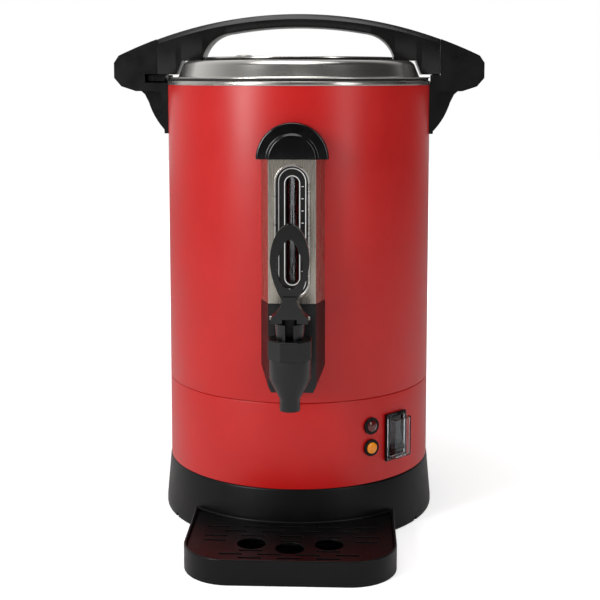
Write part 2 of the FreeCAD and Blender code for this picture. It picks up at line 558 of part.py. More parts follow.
def pocket(body, role, height, length, polygons=(), circles=()):
    """Cuts polygons and circles from a plane along its normal, by a length."""
    sketch = new_sketch(body, f"{body.Name}_cut", role, height)
    draw(sketch, polygons, circles)
    doc.recompute()
    before = body.Shape.Volume
    feature = body.newObject("PartDesign::Pocket", f"{body.Name}_opened")
    feature.Profile = sketch
    feature.Reversed = True
    feature.setExpression("Length", bound(length))
    doc.recompute()
    if not body.Shape.Volume < before:
        raise RuntimeError(f"{body.Label}: a cut removed nothing")
    return feature


def draw(sketch, polygons, circles):
    for corners in polygons:
        add_polygon(sketch, corners)
    for circle in circles:
        add_circle(sketch, *circle)


def box_outline(left, low, right, high):
    return [(left, low), (right, low), (right, high), (left, high)]


def primitive(kind, name, sizes, place=("0", "0", "0"), rotation=None):
    """A Part primitive whose sizes and place are formulas."""
    solid = doc.addObject(kind, name)
    if rotation:
        solid.Placement = Placement(Vector(), rotation)
    for size, formula in sizes.items():
        solid.setExpression(size, bound(formula))
    for axis, formula in zip("xyz", place):
        solid.setExpression(f"Placement.Base.{axis}", bound(formula))
    return solid


def cylinder(name, radius, length, place, rotation=None):
    return primitive("Part::Cylinder", name, {"Radius": radius, "Height": length}, place, rotation)


def block(name, low, high, turn=None):
    """A box between two corners given as formulas, turned about the urn's axis if asked."""
    body = doc.addObject("PartDesign::Body", name)
    body.Placement = Placement(Vector(), Rotation(Vector(0, 0, 1), 1 if turn else 0))
    if turn:
        body.setExpression("Placement.Rotation.Angle", bound(turn))
    sketch = new_sketch(body, f"{name}_outline", "XY_Plane", low[2])
    add_polygon(sketch, box_outline(low[0], low[1], high[0], high[1]))
    feature = body.newObject("PartDesign::Pad", f"{name}_raised")
    feature.Profile = sketch
    feature.setExpression("Length", bound(f"({high[2]}) - ({low[2]})"))
    return body


def cut(name, base, tools):
    """The base with every tool taken away, kept as the piece of that name."""
    if len(tools) == 1:
        tool = tools[0]
    else:
        tool = doc.addObject("Part::MultiFuse", f"{name}_tools")
        tool.Shapes = tools
    result = doc.addObject("Part::Cut", name)
    result.Base = base
    result.Tool = tool
    return keep(name, result)


def shaped(name, shape):
    """A piece whose outline needs arcs and lofts, so its shape is worked out here."""
    feature = doc.addObject("Part::Feature", name)
    place = shape.Placement
    feature.Shape = shape
    feature.Placement = place
    return keep(name, feature)


# Turns a cylinder from +Z to -Y, out of the front, or to +X
FORWARD = Rotation(Vector(1, 0, 0), 90)
SIDEWAYS = Rotation(Vector(0, 1, 0), 90)


def radial(angle_degrees):
    """The rotation that points a cylinder outwards at an angle from the front."""
    return Rotation(Vector(0, 0, 1), angle_degrees) * FORWARD


# Base skirt: moulded ring with an inner shelf for the housing and the base plate
skirt = new_body("skirt_ring", kept=False)
revolve(skirt, [
    ("skirt_r - skirt_wall", "0"),
    ("skirt_r", "0"),
    ("skirt_r", "skirt_band"),
    ("body_r + skirt_step", "skirt_top"),
    ("body_r - skirt_lip", "skirt_top"),
    ("body_r - skirt_lip", "skirt_top - skirt_wall"),
    ("body_r + skirt_step - skirt_wall", "skirt_top - skirt_wall"),
    ("skirt_r - skirt_step - skirt_wall", "shelf_height + plate_wall"),
    ("skirt_r - skirt_wall - shelf_width", "shelf_height + plate_wall"),
    ("skirt_r - skirt_wall - shelf_width", "shelf_height"),
    ("skirt_r - skirt_wall", "shelf_height"),
])
notches = [
    block(f"notch_{side}", ("-notch_width / 2", "-skirt_r - overcut", "-overcut"),
          ("notch_width / 2", "-skirt_r + skirt_wall + overcut", "notch_height"), turn)
    for side, turn in (("right", "notch_angle"), ("left", "-notch_angle"))
]
plate_hole_place = "(skirt_r - skirt_wall - shelf_width / 2) * cos(45)"
quarters = [(1, 1), (-1, 1), (-1, -1), (1, -1)]


def spread(formula, sign):
    return formula if sign > 0 else neg(formula)


screw_places = [
    (spread(plate_hole_place, across), spread(plate_hole_place, up)) for across, up in quarters
]
shelf_holes = [
    cylinder(f"shelf_hole_{number}", "screw_r", "plate_wall + overcut * 2",
             (across, up, "shelf_height - overcut"))
    for number, (across, up) in enumerate(screw_places)
]
cut("base_skirt", skirt, notches + shelf_holes)

# Base plate: steel disc under the skirt's inner shelf, held by four screws
plate = new_body("base_plate")
pad(plate, "XY_Plane", "shelf_height - plate_wall", "plate_wall", circles=[
    ("0", "0", "skirt_r - skirt_wall - plate_gap"),
])
pocket(plate, "XY_Plane", "shelf_height - plate_wall", "plate_wall", circles=[
    (across, up, "screw_r + screw_gap") for across, up in screw_places
])


def screw_shape(head_place, axis, shank_length):
    """A pan-head screw: its head ends at the place given, and its shank runs on along the axis."""
    head_height = value("screw_head_height")
    head = Part.makeCylinder(value("screw_head_r"), head_height, head_place - axis * head_height, axis)
    shank = Part.makeCylinder(value("screw_r"), shank_length, head_place, axis)
    return head.fuse(shank).removeSplitter()


up_axis = Vector(0, 0, 1)
# Base screws: heads under the plate, shanks up through the skirt's shelf
shaped("base_screws", Part.makeCompound([
    screw_shape(Vector(value(across), value(up), value("shelf_height - plate_wall")), up_axis,
                value("plate_wall * 2"))
    for across, up in screw_places
]))

# Lower housing: painted ring on the skirt, with a lip that centres the jacket
housing = new_body("housing_ring", kept=False)
revolve(housing, [
    (jacket_bore, "skirt_top"),
    ("body_r", "skirt_top"),
    ("body_r", "seam_height"),
    ("body_r - jacket_wall - lip_gap", "seam_height"),
    ("body_r - jacket_wall - lip_gap", "seam_height + lip_height"),
    ("body_r - jacket_wall * 2 - lip_gap", "seam_height + lip_height"),
    ("body_r - jacket_wall * 2 - lip_gap", "seam_height - lip_height"),
    (jacket_bore, "seam_height - lip_height"),
])
switch_hole = block(
    "switch_hole",
    ("-switch_half - panel_gap", "-body_r - panel_reach",
     "switch_height - switch_half_tall - panel_gap"),
    ("switch_half + panel_gap", "-body_r + panel_reach",
     "switch_height + switch_half_tall + panel_gap"),
    "switch_angle")
inlet_hole = block(
    "inlet_hole",
    ("-inlet_half - panel_gap", "body_r - panel_reach",
     "inlet_height - inlet_half_tall - panel_gap"),
    ("inlet_half + panel_gap", "body_r + panel_reach",
     "inlet_height + inlet_half_tall + panel_gap"))
lamp_holes = [
    cylinder(f"{lamp}_hole", "lamp_r + panel_gap", "body_r + overcut",
             ("0", "0", lamp), radial(value("lamp_angle")))
    for lamp in ("lamp_high", "lamp_low")
]
cut("lower_housing", housing, [switch_hole, inlet_hole] + lamp_holes)

# Jacket: painted tube with one hole for the tap shank
jacket = new_body("jacket_tube", kept=False)
revolve(jacket, [
    (jacket_bore, "seam_height"),
    ("body_r", "seam_height"),
    ("body_r", "jacket_top"),
    (jacket_bore, "jacket_top"),
])
handle_screw_heights = ("handle_bottom + screw_low", "handle_bottom + screw_low + screw_pitch")
jacket_holes = [
    cylinder("jacket_shank_hole", "shank_r + shank_clearance", "panel_reach * 2",
             ("0", "-body_r + panel_reach", "tap_height"), FORWARD)
]
for side, turn in (("right", 90), ("left", -90)):
    for number, height in enumerate(handle_screw_heights):
        jacket_holes.append(cylinder(f"jacket_screw_hole_{side}_{number}", "screw_r + screw_gap",
                                     "body_r + overcut", ("0", "0", height), radial(turn)))
cut("upper_shell", jacket, jacket_holes)

# Inner tank: drawn steel pot whose rolled rim hangs on the jacket
tank = new_body("tank_pot", kept=False)
revolve(tank, [
    ("0", floor_under),
    (tank_r, floor_under),
    (tank_r, bead_top + " - tank_wall"),
    ("body_r + bead_reach - tank_wall", bead_top + " - tank_wall"),
    ("body_r + bead_reach - tank_wall", "jacket_top"),
    ("body_r + bead_reach", "jacket_top"),
    ("body_r + bead_reach", bead_top),
    (tank_bore, bead_top),
    (tank_bore, "tank_floor"),
    ("0", "tank_floor"),
])
cut("inner_tank", tank, [
    cylinder("tank_shank_hole", "shank_r + shank_clearance", "panel_reach * 2",
             ("0", "-body_r + panel_reach + tank_gap", "tap_height"), FORWARD)
])

# Side handles: moulded, each with a slot that locks the lid handle's foot
arch_centre = total_height - value("arch_r")


def arch_height(across, drop=0.0):
    """Height of the arch's upper line at a distance across, less a drop."""
    return arch_centre + math.sqrt(value("arch_r") ** 2 - across ** 2) - drop


def point(across, height):
    return Vector(across, 0, height)


def line(start, end):
    return Part.makeLine(start, end)


def bend(start, middle, end):
    return Part.Arc(start, middle, end).toShape()


def slab(edges, depth):
    """An outline in the plane y = 0, given its depth both ways."""
    face = Part.Face(Part.Wire(edges))
    face.translate(Vector(0, -depth / 2, 0))
    return face.extrude(Vector(0, depth, 0))


def drum(radius, low, high):
    """A solid drum about the urn's axis between two heights."""
    return Part.makeCylinder(radius, high - low, Vector(0, 0, low))


def side_handle():
    """An arm that runs on from the arch, a web under it and a plate on the jacket.

    Its slot is open towards the back, where the lid's foot swings in, and closed at the front."""
    body_r = value("body_r")
    reach = value("handle_reach")
    bottom = value("handle_bottom")
    depth = value("grip_depth")
    bevel = value("tip_bevel")
    fall = value("tip_fall")
    inner = body_r - value("handle_root")
    shelf = value(slot_bottom) - value("arm_floor")
    web_top = shelf + value("overcut")
    tip_top = point(reach - bevel, arch_height(reach - bevel))
    tip_high = point(reach, tip_top.z - fall)
    tip_low = point(reach, value(slot_bottom) + bevel)
    tip_under = point(reach - fall, shelf + bevel)
    arm_end = point(body_r + value("web_reach"), shelf)
    web_end = point(body_r + value("web_reach"), web_top)
    elbow = point(body_r + value("elbow_reach"), shelf - value("elbow_drop"))
    waist = point(body_r + value("waist_reach"), shelf - value("waist_drop"))
    belly = point(body_r + value("belly_reach"), shelf - value("belly_drop"))
    toe = point(body_r + value("toe_reach"), bottom)
    start = point(inner, arch_height(inner))
    half_way = (inner + tip_top.x) / 2
    arm = slab([
        bend(start, point(half_way, arch_height(half_way)), tip_top),
        line(tip_top, tip_high),
        line(tip_high, tip_low),
        line(tip_low, tip_under),
        line(tip_under, arm_end),
        line(arm_end, point(inner, shelf)),
        line(point(inner, shelf), start),
    ], depth)
    web = slab([
        line(point(inner, web_top), web_end),
        line(web_end, elbow),
        line(elbow, waist),
        bend(waist, belly, toe),
        line(toe, point(inner, bottom)),
        line(point(inner, bottom), point(inner, web_top)),
    ], value("web_width"))
    plate_foot = point(body_r + value("handle_plate_foot"), bottom)
    plate_head = point(body_r + value("handle_plate"), web_top)
    plate = slab([
        line(point(inner, bottom), plate_foot),
        line(plate_foot, plate_head),
        line(plate_head, point(inner, web_top)),
        line(point(inner, web_top), point(inner, bottom)),
    ], depth)
    handle = arm.fuse(web).fuse(plate)
    top = total_height + value("overcut")
    gap = value("parting_gap")
    hair = value("hair")
    slot_wall = value("foot_outer_r + slot_gap + slot_end")
    bead = body_r + value("bead_reach + parting_gap")
    jacket_end = value("jacket_top") - gap
    handle = handle.cut(drum(body_r + value("fit_gap"), bottom - value("overcut"), jacket_end))
    handle = handle.cut(drum(bead, jacket_end - hair, top))
    slot_low = value(slot_bottom)
    slot_height = value(slot_top) - slot_low
    slot_front = -value("foot_depth") / 2 - value("slot_stop")
    slot_side = Part.makeBox(reach, depth / 2 - slot_front + value("overcut"), slot_height,
                             Vector(0, slot_front, slot_low))
    handle = handle.cut(drum(slot_wall, slot_low, slot_low + slot_height).common(slot_side))
    handle = handle.cut(drum(value("parting_r") + gap, value(leg_bottom) - gap, top))
    for height in handle_screw_heights:
        pilot = Part.makeCylinder(value("screw_r"), value("pilot_depth"),
                                  Vector(body_r - value("overcut"), 0, value(height)), Vector(1, 0, 0))
        handle = handle.cut(pilot)
    return handle.removeSplitter()


right_handle = side_handle()
shaped("side_handle_right", right_handle)
left_handle = right_handle.copy()
left_handle.rotate(Vector(), up_axis, 180)
shaped("side_handle_left", left_handle)

# Handle screws: heads in the air gap, shanks out through the jacket
handle_screws = []
for sign in (1, -1):
    for height in handle_screw_heights:
        head_place = Vector(sign * value(jacket_bore + " - seating"), 0, value(height))
        handle_screws.append(screw_shape(head_place, Vector(sign, 0, 0),
                                         value("jacket_wall + screw_bite")))
shaped("handle_screws", Part.makeCompound(handle_screws))

# Lid gasket: silicone ring between the tank's rim and the lid's flange
gasket = new_body("lid_gasket")
revolve(gasket, box_outline(tank_bore + " + gasket_gap", bead_top,
                            tank_bore + " + gasket_gap + gasket_width", lid_bottom))

# Lid shell: pressed steel dome with a flat flange
lid = new_body("lid_dome", kept=False)
revolve(lid, [
    ("0", deck_top + " - lid_wall"),
    ("dome_top_r - shoulder_width - lid_wall / 2", deck_top + " - lid_wall"),
    ("dome_top_r - lid_wall", deck_top + " - shoulder_drop - lid_wall / 2"),
    ("dome_foot_r - lid_wall", lid_bottom + " + lid_wall / 2"),
    ("dome_foot_r - lid_wall / 2", lid_bottom),
    ("body_r", lid_bottom),
    ("body_r", lid_bottom + " + lid_wall"),
    ("dome_foot_r", lid_bottom + " + lid_wall"),
    ("dome_top_r", deck_top + " - shoulder_drop"),
    ("dome_top_r - shoulder_width", deck_top),
    ("0", deck_top),
])
screw_x = "arch_gap_half + lid_screw_out"
screw_y = "grip_depth / 4"
lid_holes = [
    cylinder(f"lid_screw_hole_{number}", "screw_r + screw_gap", "lid_wall + overcut * 2",
             (spread(screw_x, across), spread(screw_y, up), deck_top + " - lid_wall - overcut"))
    for number, (across, up) in enumerate(quarters)
]
lid_holes.append(cylinder("lid_vent_hole", "vent_stem_r + vent_gap", "lid_wall + overcut * 2",
                          ("vent_x", "vent_y", deck_top + " - lid_wall - overcut")))
cut("lid_shell", lid, lid_holes)

# Black ring and steel cap plate in the middle of the lid, both with flats for the handle's legs
def leg_seats(name):
    """Two blocks that clear the handle's legs from ring and plate."""
    return [
        block(f"{name}_{side}", (low, "-grip_depth / 2 - parting_gap / 2", deck_top + " - overcut"),
              (high, "grip_depth / 2 + parting_gap / 2", cap_top + " + overcut"))
        for side, low, high in (("right", "arch_gap_half - seat_inset", "ring_r + overcut"),
                                ("left", "-ring_r - overcut", "-arch_gap_half + seat_inset"))
    ]


ring = new_body("lid_ring", kept=False)
revolve(ring, box_outline("ring_r - ring_width", deck_top, "ring_r", ring_top))
cut("lid_base_ring", ring, leg_seats("ring_seat"))
cap_plate = new_body("cap_disc", kept=False)
revolve(cap_plate, [
    ("0", ring_top),
    ("ring_r - cap_inset", ring_top),
    ("ring_r - cap_inset", ring_top + " + cap_height / 2"),
    ("ring_r - cap_inset - cap_bevel", cap_top),
    ("0", cap_top),
])
cut("lid_cap_plate", cap_plate, leg_seats("cap_seat") + [
    cylinder("cap_vent_hole", "vent_stem_r + vent_gap", "cap_height + overcut * 2",
             ("vent_x", "vent_y", ring_top + " - overcut")),
])

# Steam vent: mushroom cap on a stem through plate and dome
vent = new_body("vent_cap", ("vent_x", "vent_y", "0"))
revolve(vent, [
    ("0", deck_top + " - lid_wall - vent_tail"),
    ("vent_stem_r", deck_top + " - lid_wall - vent_tail"),
    ("vent_stem_r", cap_top),
    ("vent_r", cap_top),
    ("vent_r", cap_top + " + vent_height / 2"),
    ("vent_r - vent_bevel", cap_top + " + vent_height"),
    ("0", cap_top + " + vent_height"),
])


def lid_handle():
    """The arch over the lid: one bow between two legs, each with a locking foot."""
    gap_half = value("arch_gap_half")
    seat = value(deck_top + " + seat_gap")
    bottom = value(leg_bottom)
    end = value("parting_r + overcut")
    shoulder = value("dome_top_r + dome_gap")
    dome_foot = value("dome_foot_r + dome_gap")
    inner_r = value("inner_arch_r")
    crown = point(0, total_height)
    inner_crown = point(0, total_height - value("grip_thickness"))
    knee = gap_half - value("knee_inset")
    knee_height = inner_crown.z - inner_r + math.sqrt(inner_r ** 2 - knee ** 2)
    shin = gap_half - value("shin_inset")
    shin_height = (seat + knee_height) / 2 + value("shin_rise")
    left_end = point(-end, arch_height(end))
    right_end = point(end, arch_height(end))
    bow = slab([
        bend(left_end, crown, right_end),
        line(right_end, point(end, bottom)),
        line(point(end, bottom), point(dome_foot, bottom)),
        line(point(dome_foot, bottom), point(shoulder, seat)),
        line(point(shoulder, seat), point(gap_half, seat)),
        bend(point(gap_half, seat), point(shin, shin_height), point(knee, knee_height)),
        bend(point(knee, knee_height), inner_crown, point(-knee, knee_height)),
        bend(point(-knee, knee_height), point(-shin, shin_height), point(-gap_half, seat)),
        line(point(-gap_half, seat), point(-shoulder, seat)),
        line(point(-shoulder, seat), point(-dome_foot, bottom)),
        line(point(-dome_foot, bottom), point(-end, bottom)),
        line(point(-end, bottom), left_end),
    ], value("grip_depth"))
    over = value("overcut")
    bow = bow.common(drum(value("parting_r"), bottom - over, crown.z + over))
    low = value(foot_bottom)
    tall = value("foot_height")
    inside = drum(value("foot_inner_r"), low - over, bottom + over)
    foot_ring = drum(value("foot_outer_r"), low, low + tall).cut(inside)
    neck_ring = drum(value("parting_r"), low, bottom + over / 2).cut(inside)
    foot_depth = value("foot_depth")
    reach = value("foot_outer_r + overcut")
    band = Part.makeBox(2 * reach, foot_depth, tall + 3 * over,
                        Vector(-reach, -foot_depth / 2, low - over))
    handle = bow.fuse(foot_ring.fuse(neck_ring).common(band))
    for across, up in quarters:
        pilot = Part.makeCylinder(value("screw_r"), value("pilot_depth"),
                                  Vector(across * value(screw_x), up * value(screw_y), seat - over))
        handle = handle.cut(pilot)
    return handle.removeSplitter()


shaped("lid_handle", lid_handle())
shaped("lid_screws", Part.makeCompound([
    screw_shape(Vector(across * value(screw_x), up * value(screw_y), value(deck_top + " - lid_wall")),
                up_axis, value("lid_wall + screw_bite"))
    for across, up in quarters
]))

# Gauge column: bent steel cover between a moulded cap and a moulded foot
on_jacket = drum(value("body_r + fit_gap"), 0, total_height)


def column_section(offset="0", tuck="cover_tuck"):
    """The column's plan outline, drawn in by an offset and run back inside the jacket by a tuck."""
    side = f"column_half_back - ({offset})"
    front_side = f"column_half_front - ({offset}) * 0.6"
    front = f"-column_front + ({offset})"
    return [
        (neg(side), f"-body_r + {tuck}"),
        (neg(side), "-body_r + cheek_depth"),
        (neg(front_side), front),
        (front_side, front),
        (side, "-body_r + cheek_depth"),
        (side, f"-body_r + {tuck}"),
    ]


def stadium(half, low, high, near, far):
    """A slot with round ends, upright, between two distances in front of the axis."""
    straight = Part.makeBox(2 * half, far - near, high - low - 2 * half, Vector(-half, -far, low + half))
    ends = [Part.makeCylinder(half, far - near, Vector(0, -near, height), Vector(0, -1, 0))
            for height in (low + half, high - half)]
    return straight.fuse(ends).removeSplitter()


window = doc.addObject("Part::Feature", "window_cutter")
window.Shape = stadium(value("window_half"), value("window_bottom"), value("window_top"),
                       value("column_front - window_reach"), value("column_front + overcut"))
cover = new_body("cover_bend", kept=False)
pad(cover, "XY_Plane", "cover_bottom", "cover_top - cover_bottom", [column_section()])
pocket(cover, "XY_Plane", "cover_bottom", "cover_top - cover_bottom",
       [column_section("column_wall", "cover_tuck + overcut")])
cut("column_cover", cover, [
    window,
    cylinder("cover_jacket", "body_r + fit_gap", arch_top, ("0", "0", "0")),
])

# Window frame, scale plate and sight tube
frame_front = value("column_front + frame_proud")
frame_back = frame_front - value("frame_depth")
frame_outer = value("window_half - frame_gap")
frame_inner = frame_outer - value("frame_width")
frame_low = value("window_bottom + frame_gap")
frame_high = value("window_top - frame_gap")
over = value("overcut")
shaped("gauge_frame", stadium(frame_outer, frame_low, frame_high, frame_back, frame_front).cut(
    stadium(frame_inner, frame_low + value("frame_width"), frame_high - value("frame_width"),
            frame_back - over, frame_front + over)))
scale_back = frame_back - value("scale_wall")
shaped("gauge_scale", stadium(
    value("window_half - scale_inset"), value("window_bottom + scale_inset"),
    value("window_top - scale_inset"), scale_back, frame_back
).cut(stadium(value("slit_half"), value("slit_bottom"), value("slit_top"),
              scale_back - over, frame_back + over)))
tube_bottom = "cover_bottom + tube_inset"
tube_top = "cover_top - tube_inset"
tube = new_body("sight_tube", ("0", "-tube_y", "0"))
revolve(tube, [
    ("tube_bore_r", tube_bottom),
    ("tube_r", tube_bottom),
    ("tube_r", tube_top),
    ("tube_bore_r", tube_top),
])


def grommet_shape(low):
    """A soft ring round one end of the sight tube, flat where it would meet the scale."""
    outer = value("grommet_r")
    tall = value("grommet_height")
    ring_solid = Part.makeCylinder(outer, tall, Vector(0, 0, low)).cut(
        Part.makeCylinder(value("tube_r"), tall + 2 * over, Vector(0, 0, low - over)))
    ring_solid.translate(Vector(0, -value("tube_y"), 0))
    front = scale_back - value("scale_gap")
    space = Part.makeBox(2 * outer, front - value("body_r - tube_out"), tall,
                         Vector(-outer, -front, low))
    return ring_solid.common(space).cut(on_jacket)


shaped("tube_grommets", Part.makeCompound([
    grommet_shape(value("cover_bottom")),
    grommet_shape(value("cover_top - grommet_height")),
]))

# Column cap: half-round moulding with a raised flat face
cap_depth = value("column_front - cap_setback")
cap_r = value("column_cap_r")
cap_place = Vector(0, 0, value("cover_top"))
to_front = Vector(0, -1, 0)
cap_half = Part.makeCylinder(cap_r, cap_depth, cap_place, to_front)
cap_face = Part.makeCylinder(value("cap_face_r"), cap_depth + value("cap_face_rise"), cap_place, to_front)
upper_space = Part.makeBox(2 * cap_r, 2 * cap_depth, cap_r, cap_place - Vector(cap_r, 2 * cap_depth, 0))
column_cap = cap_half.fuse(cap_face).common(upper_space).cut(on_jacket).removeSplitter()
shaped("column_cap", column_cap)

# Column foot: hollow moulding behind the tap
foot_body = new_body("foot_shell", kept=False)
pad(foot_body, "XY_Plane", "column_foot_bottom", "cover_bottom - column_foot_bottom",
    [column_section("-foot_proud")])
pocket(foot_body, "XY_Plane", "column_foot_bottom + column_foot_wall",
       "cover_bottom - column_foot_bottom - column_foot_wall * 2",
       [column_section("column_foot_wall", "cover_tuck + overcut")])
taper_cutters = []
for sign, side in ((1, "right"), (-1, "left")):
    corner = doc.addObject("PartDesign::Body", f"foot_taper_{side}")
    taper = new_sketch(corner, f"foot_taper_{side}_outline", "XZ_Plane", "body_r - cover_tuck - overcut")
    add_polygon(taper, [
        (spread("column_foot_half", sign), "column_foot_bottom - overcut"),
        (spread("column_half_back + cover_tuck", sign), "column_foot_bottom - overcut"),
        (spread("column_half_back + cover_tuck", sign), "column_foot_corner"),
        (spread("column_half_back + foot_proud", sign), "column_foot_corner"),
        (spread("column_foot_half", sign), "column_foot_bottom"),
    ])
    wedge = corner.newObject("PartDesign::Pad", f"foot_taper_{side}_raised")
    wedge.Profile = taper
    wedge.setExpression("Length", bound("column_depth + cover_tuck + overcut * 2"))
    taper_cutters.append(corner)
cut("column_foot", foot_body, taper_cutters + [
    cylinder("foot_shank_hole", "shank_r + shank_clearance", "column_depth * 2 + panel_reach",
             ("0", "-body_r + panel_reach", "tap_height"), FORWARD),
    cylinder("foot_pipe_hole", "pipe_r + pipe_hole_gap", "pipe_reach * 2",
             ("0", "-tube_y", "cover_bottom - pipe_reach")),
    cylinder("foot_jacket", "body_r + fit_gap", arch_top, ("0", "0", "0")),
])

# Gauge pipe: from the tap shank up into the sight tube
boss_end = "column_front + foot_proud + boss_gap"
pipe = new_body("gauge_pipe", ("0", "-tube_y", "0"))
revolve(pipe, box_outline("pipe_bore_r", "tap_height + shank_bore_r - pipe_dip",
                          "pipe_r", "cover_bottom + pipe_reach"))

# Tap shank: threaded tube through jacket and tank, drilled for the gauge pipe
shank = new_body("shank_tube", kept=False)
shank_end = tank_bore + " - shank_inset"
pad(shank, "XZ_Plane", shank_end, f"{boss_end} - ({shank_end})", circles=[
    ("0", "tap_height", "shank_r"), ("0", "tap_height", "shank_bore_r"),
])
cut("tap_shank", shank, [
    cylinder("shank_pipe_hole", "pipe_r", "pipe_reach * 2", ("0", "-tube_y", "tap_height")),
])


def regular_outline(sides, across_flats, turned, up="0"):
    """Corners of a regular outline, the first one turned by an angle, about a height on the axis."""
    reach = f"({across_flats}) / 2 / cos(180 / {sides})"
    angles = [360 / sides * side + turned for side in range(sides)]
    return [(f"{reach} * cos({angle})", f"{up} + {reach} * sin({angle})") for angle in angles]


nut = new_body("shank_nut")
washer_inner = tank_bore + " - washer_height"
pad(nut, "XZ_Plane", f"{washer_inner} - nut_height", "nut_height",
    [regular_outline(6, "nut_flats", 0, "tap_height")], [("0", "tap_height", "shank_r")])
washer = new_body("washer_ring", kept=False)
pad(washer, "XZ_Plane", washer_inner, "washer_height + overcut", circles=[
    ("0", "tap_height", "nut_flats / 2"), ("0", "tap_height", "shank_r"),
])
tap_gasket = doc.addObject("Part::Common", "tap_gasket")
tap_gasket.Base = washer
tap_gasket.Tool = cylinder("washer_bound", tank_bore, arch_top, ("0", "0", "0"))
keep("tap_gasket", tap_gasket)

# Tap body: moulded chamber tapering to the spout, with an inlet boss
tap = new_body("tap_body", ("0", "-tap_y", "0"))
revolve(tap, [
    ("0", "spout_bottom"),
    ("spout_r", "spout_bottom"),
    ("spout_r", "taper_bottom"),
    ("tap_r", "taper_top"),
    ("tap_r", "tap_top"),
    ("0", "tap_top"),
])
pad(tap, "XZ_Plane", f"{boss_end} - tap_y", f"tap_y - ({boss_end})", circles=[
    ("0", "tap_height", "boss_r"),
])
revolve(tap, [
    ("0", "spout_bottom"),
    ("spout_bore_r", "spout_bottom"),
    ("spout_bore_r", "seat_height"),
    ("chamber_r", "seat_height"),
    ("chamber_r", "tap_top"),
    ("0", "tap_top"),
], "PartDesign::Groove")
pocket(tap, "XZ_Plane", f"{boss_end} - tap_y", f"tap_y - ({boss_end})", circles=[
    ("0", "tap_height", "shank_bore_r"),
])

# Tap collar: eight-sided nut that clamps the bonnet on the tap body
collar = new_body("tap_collar", ("0", "-tap_y", "0"))
pad(collar, "XY_Plane", "tap_top", "collar_top - tap_top", [regular_outline(8, "collar_flats", 22.5)],
    [("0", "0", "bonnet_foot_r + collar_gap")])
pocket(collar, "XY_Plane", "tap_top", "collar_top - collar_lip - tap_top",
       circles=[("0", "0", "chamber_r")])

# Bonnet: flange under the collar's lip and a slotted cone above it
bonnet = new_body("bonnet_cone", ("0", "-tap_y", "0"), kept=False)
lip_bottom = "collar_top - collar_lip"
web_bottom = lip_bottom + " - bonnet_web"
revolve(bonnet, [
    ("cup_r + cup_gap", "tap_top"),
    ("chamber_r - bonnet_gap", "tap_top"),
    ("chamber_r - bonnet_gap", lip_bottom),
    ("bonnet_foot_r", lip_bottom),
    ("bonnet_top_r", "bonnet_top"),
    ("stem_head_r + head_gap", "bonnet_top"),
    ("stem_head_r + head_gap", lip_bottom),
    ("stem_r + stem_gap", lip_bottom),
    ("stem_r + stem_gap", web_bottom),
    ("cup_r + cup_gap", web_bottom),
])
cut("tap_bonnet", bonnet, [
    block("bonnet_slot_cut", ("-bonnet_slot / 2", "-tap_y - tap_r", "collar_top - slot_dip"),
          ("bonnet_slot / 2", "-tap_y", "bonnet_top + overcut")),
])

# Valve stem: rod with a flattened head and an eye for the lever pin
stem = new_body("stem_rod", ("0", "-tap_y", "0"), kept=False)
stem_bottom = "seat_height + cup_floor"
head_bottom = "bonnet_top - stem_head_drop"
revolve(stem, [
    ("0", stem_bottom),
    ("stem_r", stem_bottom),
    ("stem_r", head_bottom),
    ("stem_head_r", head_bottom),
    ("stem_head_r", "stem_top"),
    ("0", "stem_top"),
])
cut("tap_stem", stem, [
    block("stem_flat_front", ("-stem_head_r * 2", "-tap_y - stem_head_r * 2", head_bottom + " - hair"),
          ("stem_head_r * 2", "-tap_y - stem_head_flat", "stem_top + overcut")),
    block("stem_flat_back", ("-stem_head_r * 2", "-tap_y + stem_head_flat", head_bottom + " - hair"),
          ("stem_head_r * 2", "-tap_y + stem_head_r * 2", "stem_top + overcut")),
    cylinder("stem_eye", "pin_r + pin_gap", "stem_head_r * 4", ("-stem_head_r * 2", "-tap_y", "pin_height"),
             SIDEWAYS),
])

# Seat cup: silicone plug on the stem, closing the spout at rest
cup = new_body("seat_cup", ("0", "-tap_y", "0"))
revolve(cup, [
    ("0", "seat_height + seat_rest"),
    ("cup_r", "seat_height + seat_rest"),
    ("cup_r", "seat_height + cup_height"),
    ("stem_r", "seat_height + cup_height"),
    ("stem_r", stem_bottom),
    ("0", stem_bottom),
])
spring = new_body("tap_spring", ("0", "-tap_y", "0"))
revolve(spring, box_outline("spring_r - spring_wall", "seat_height + cup_height", "spring_r", web_bottom))


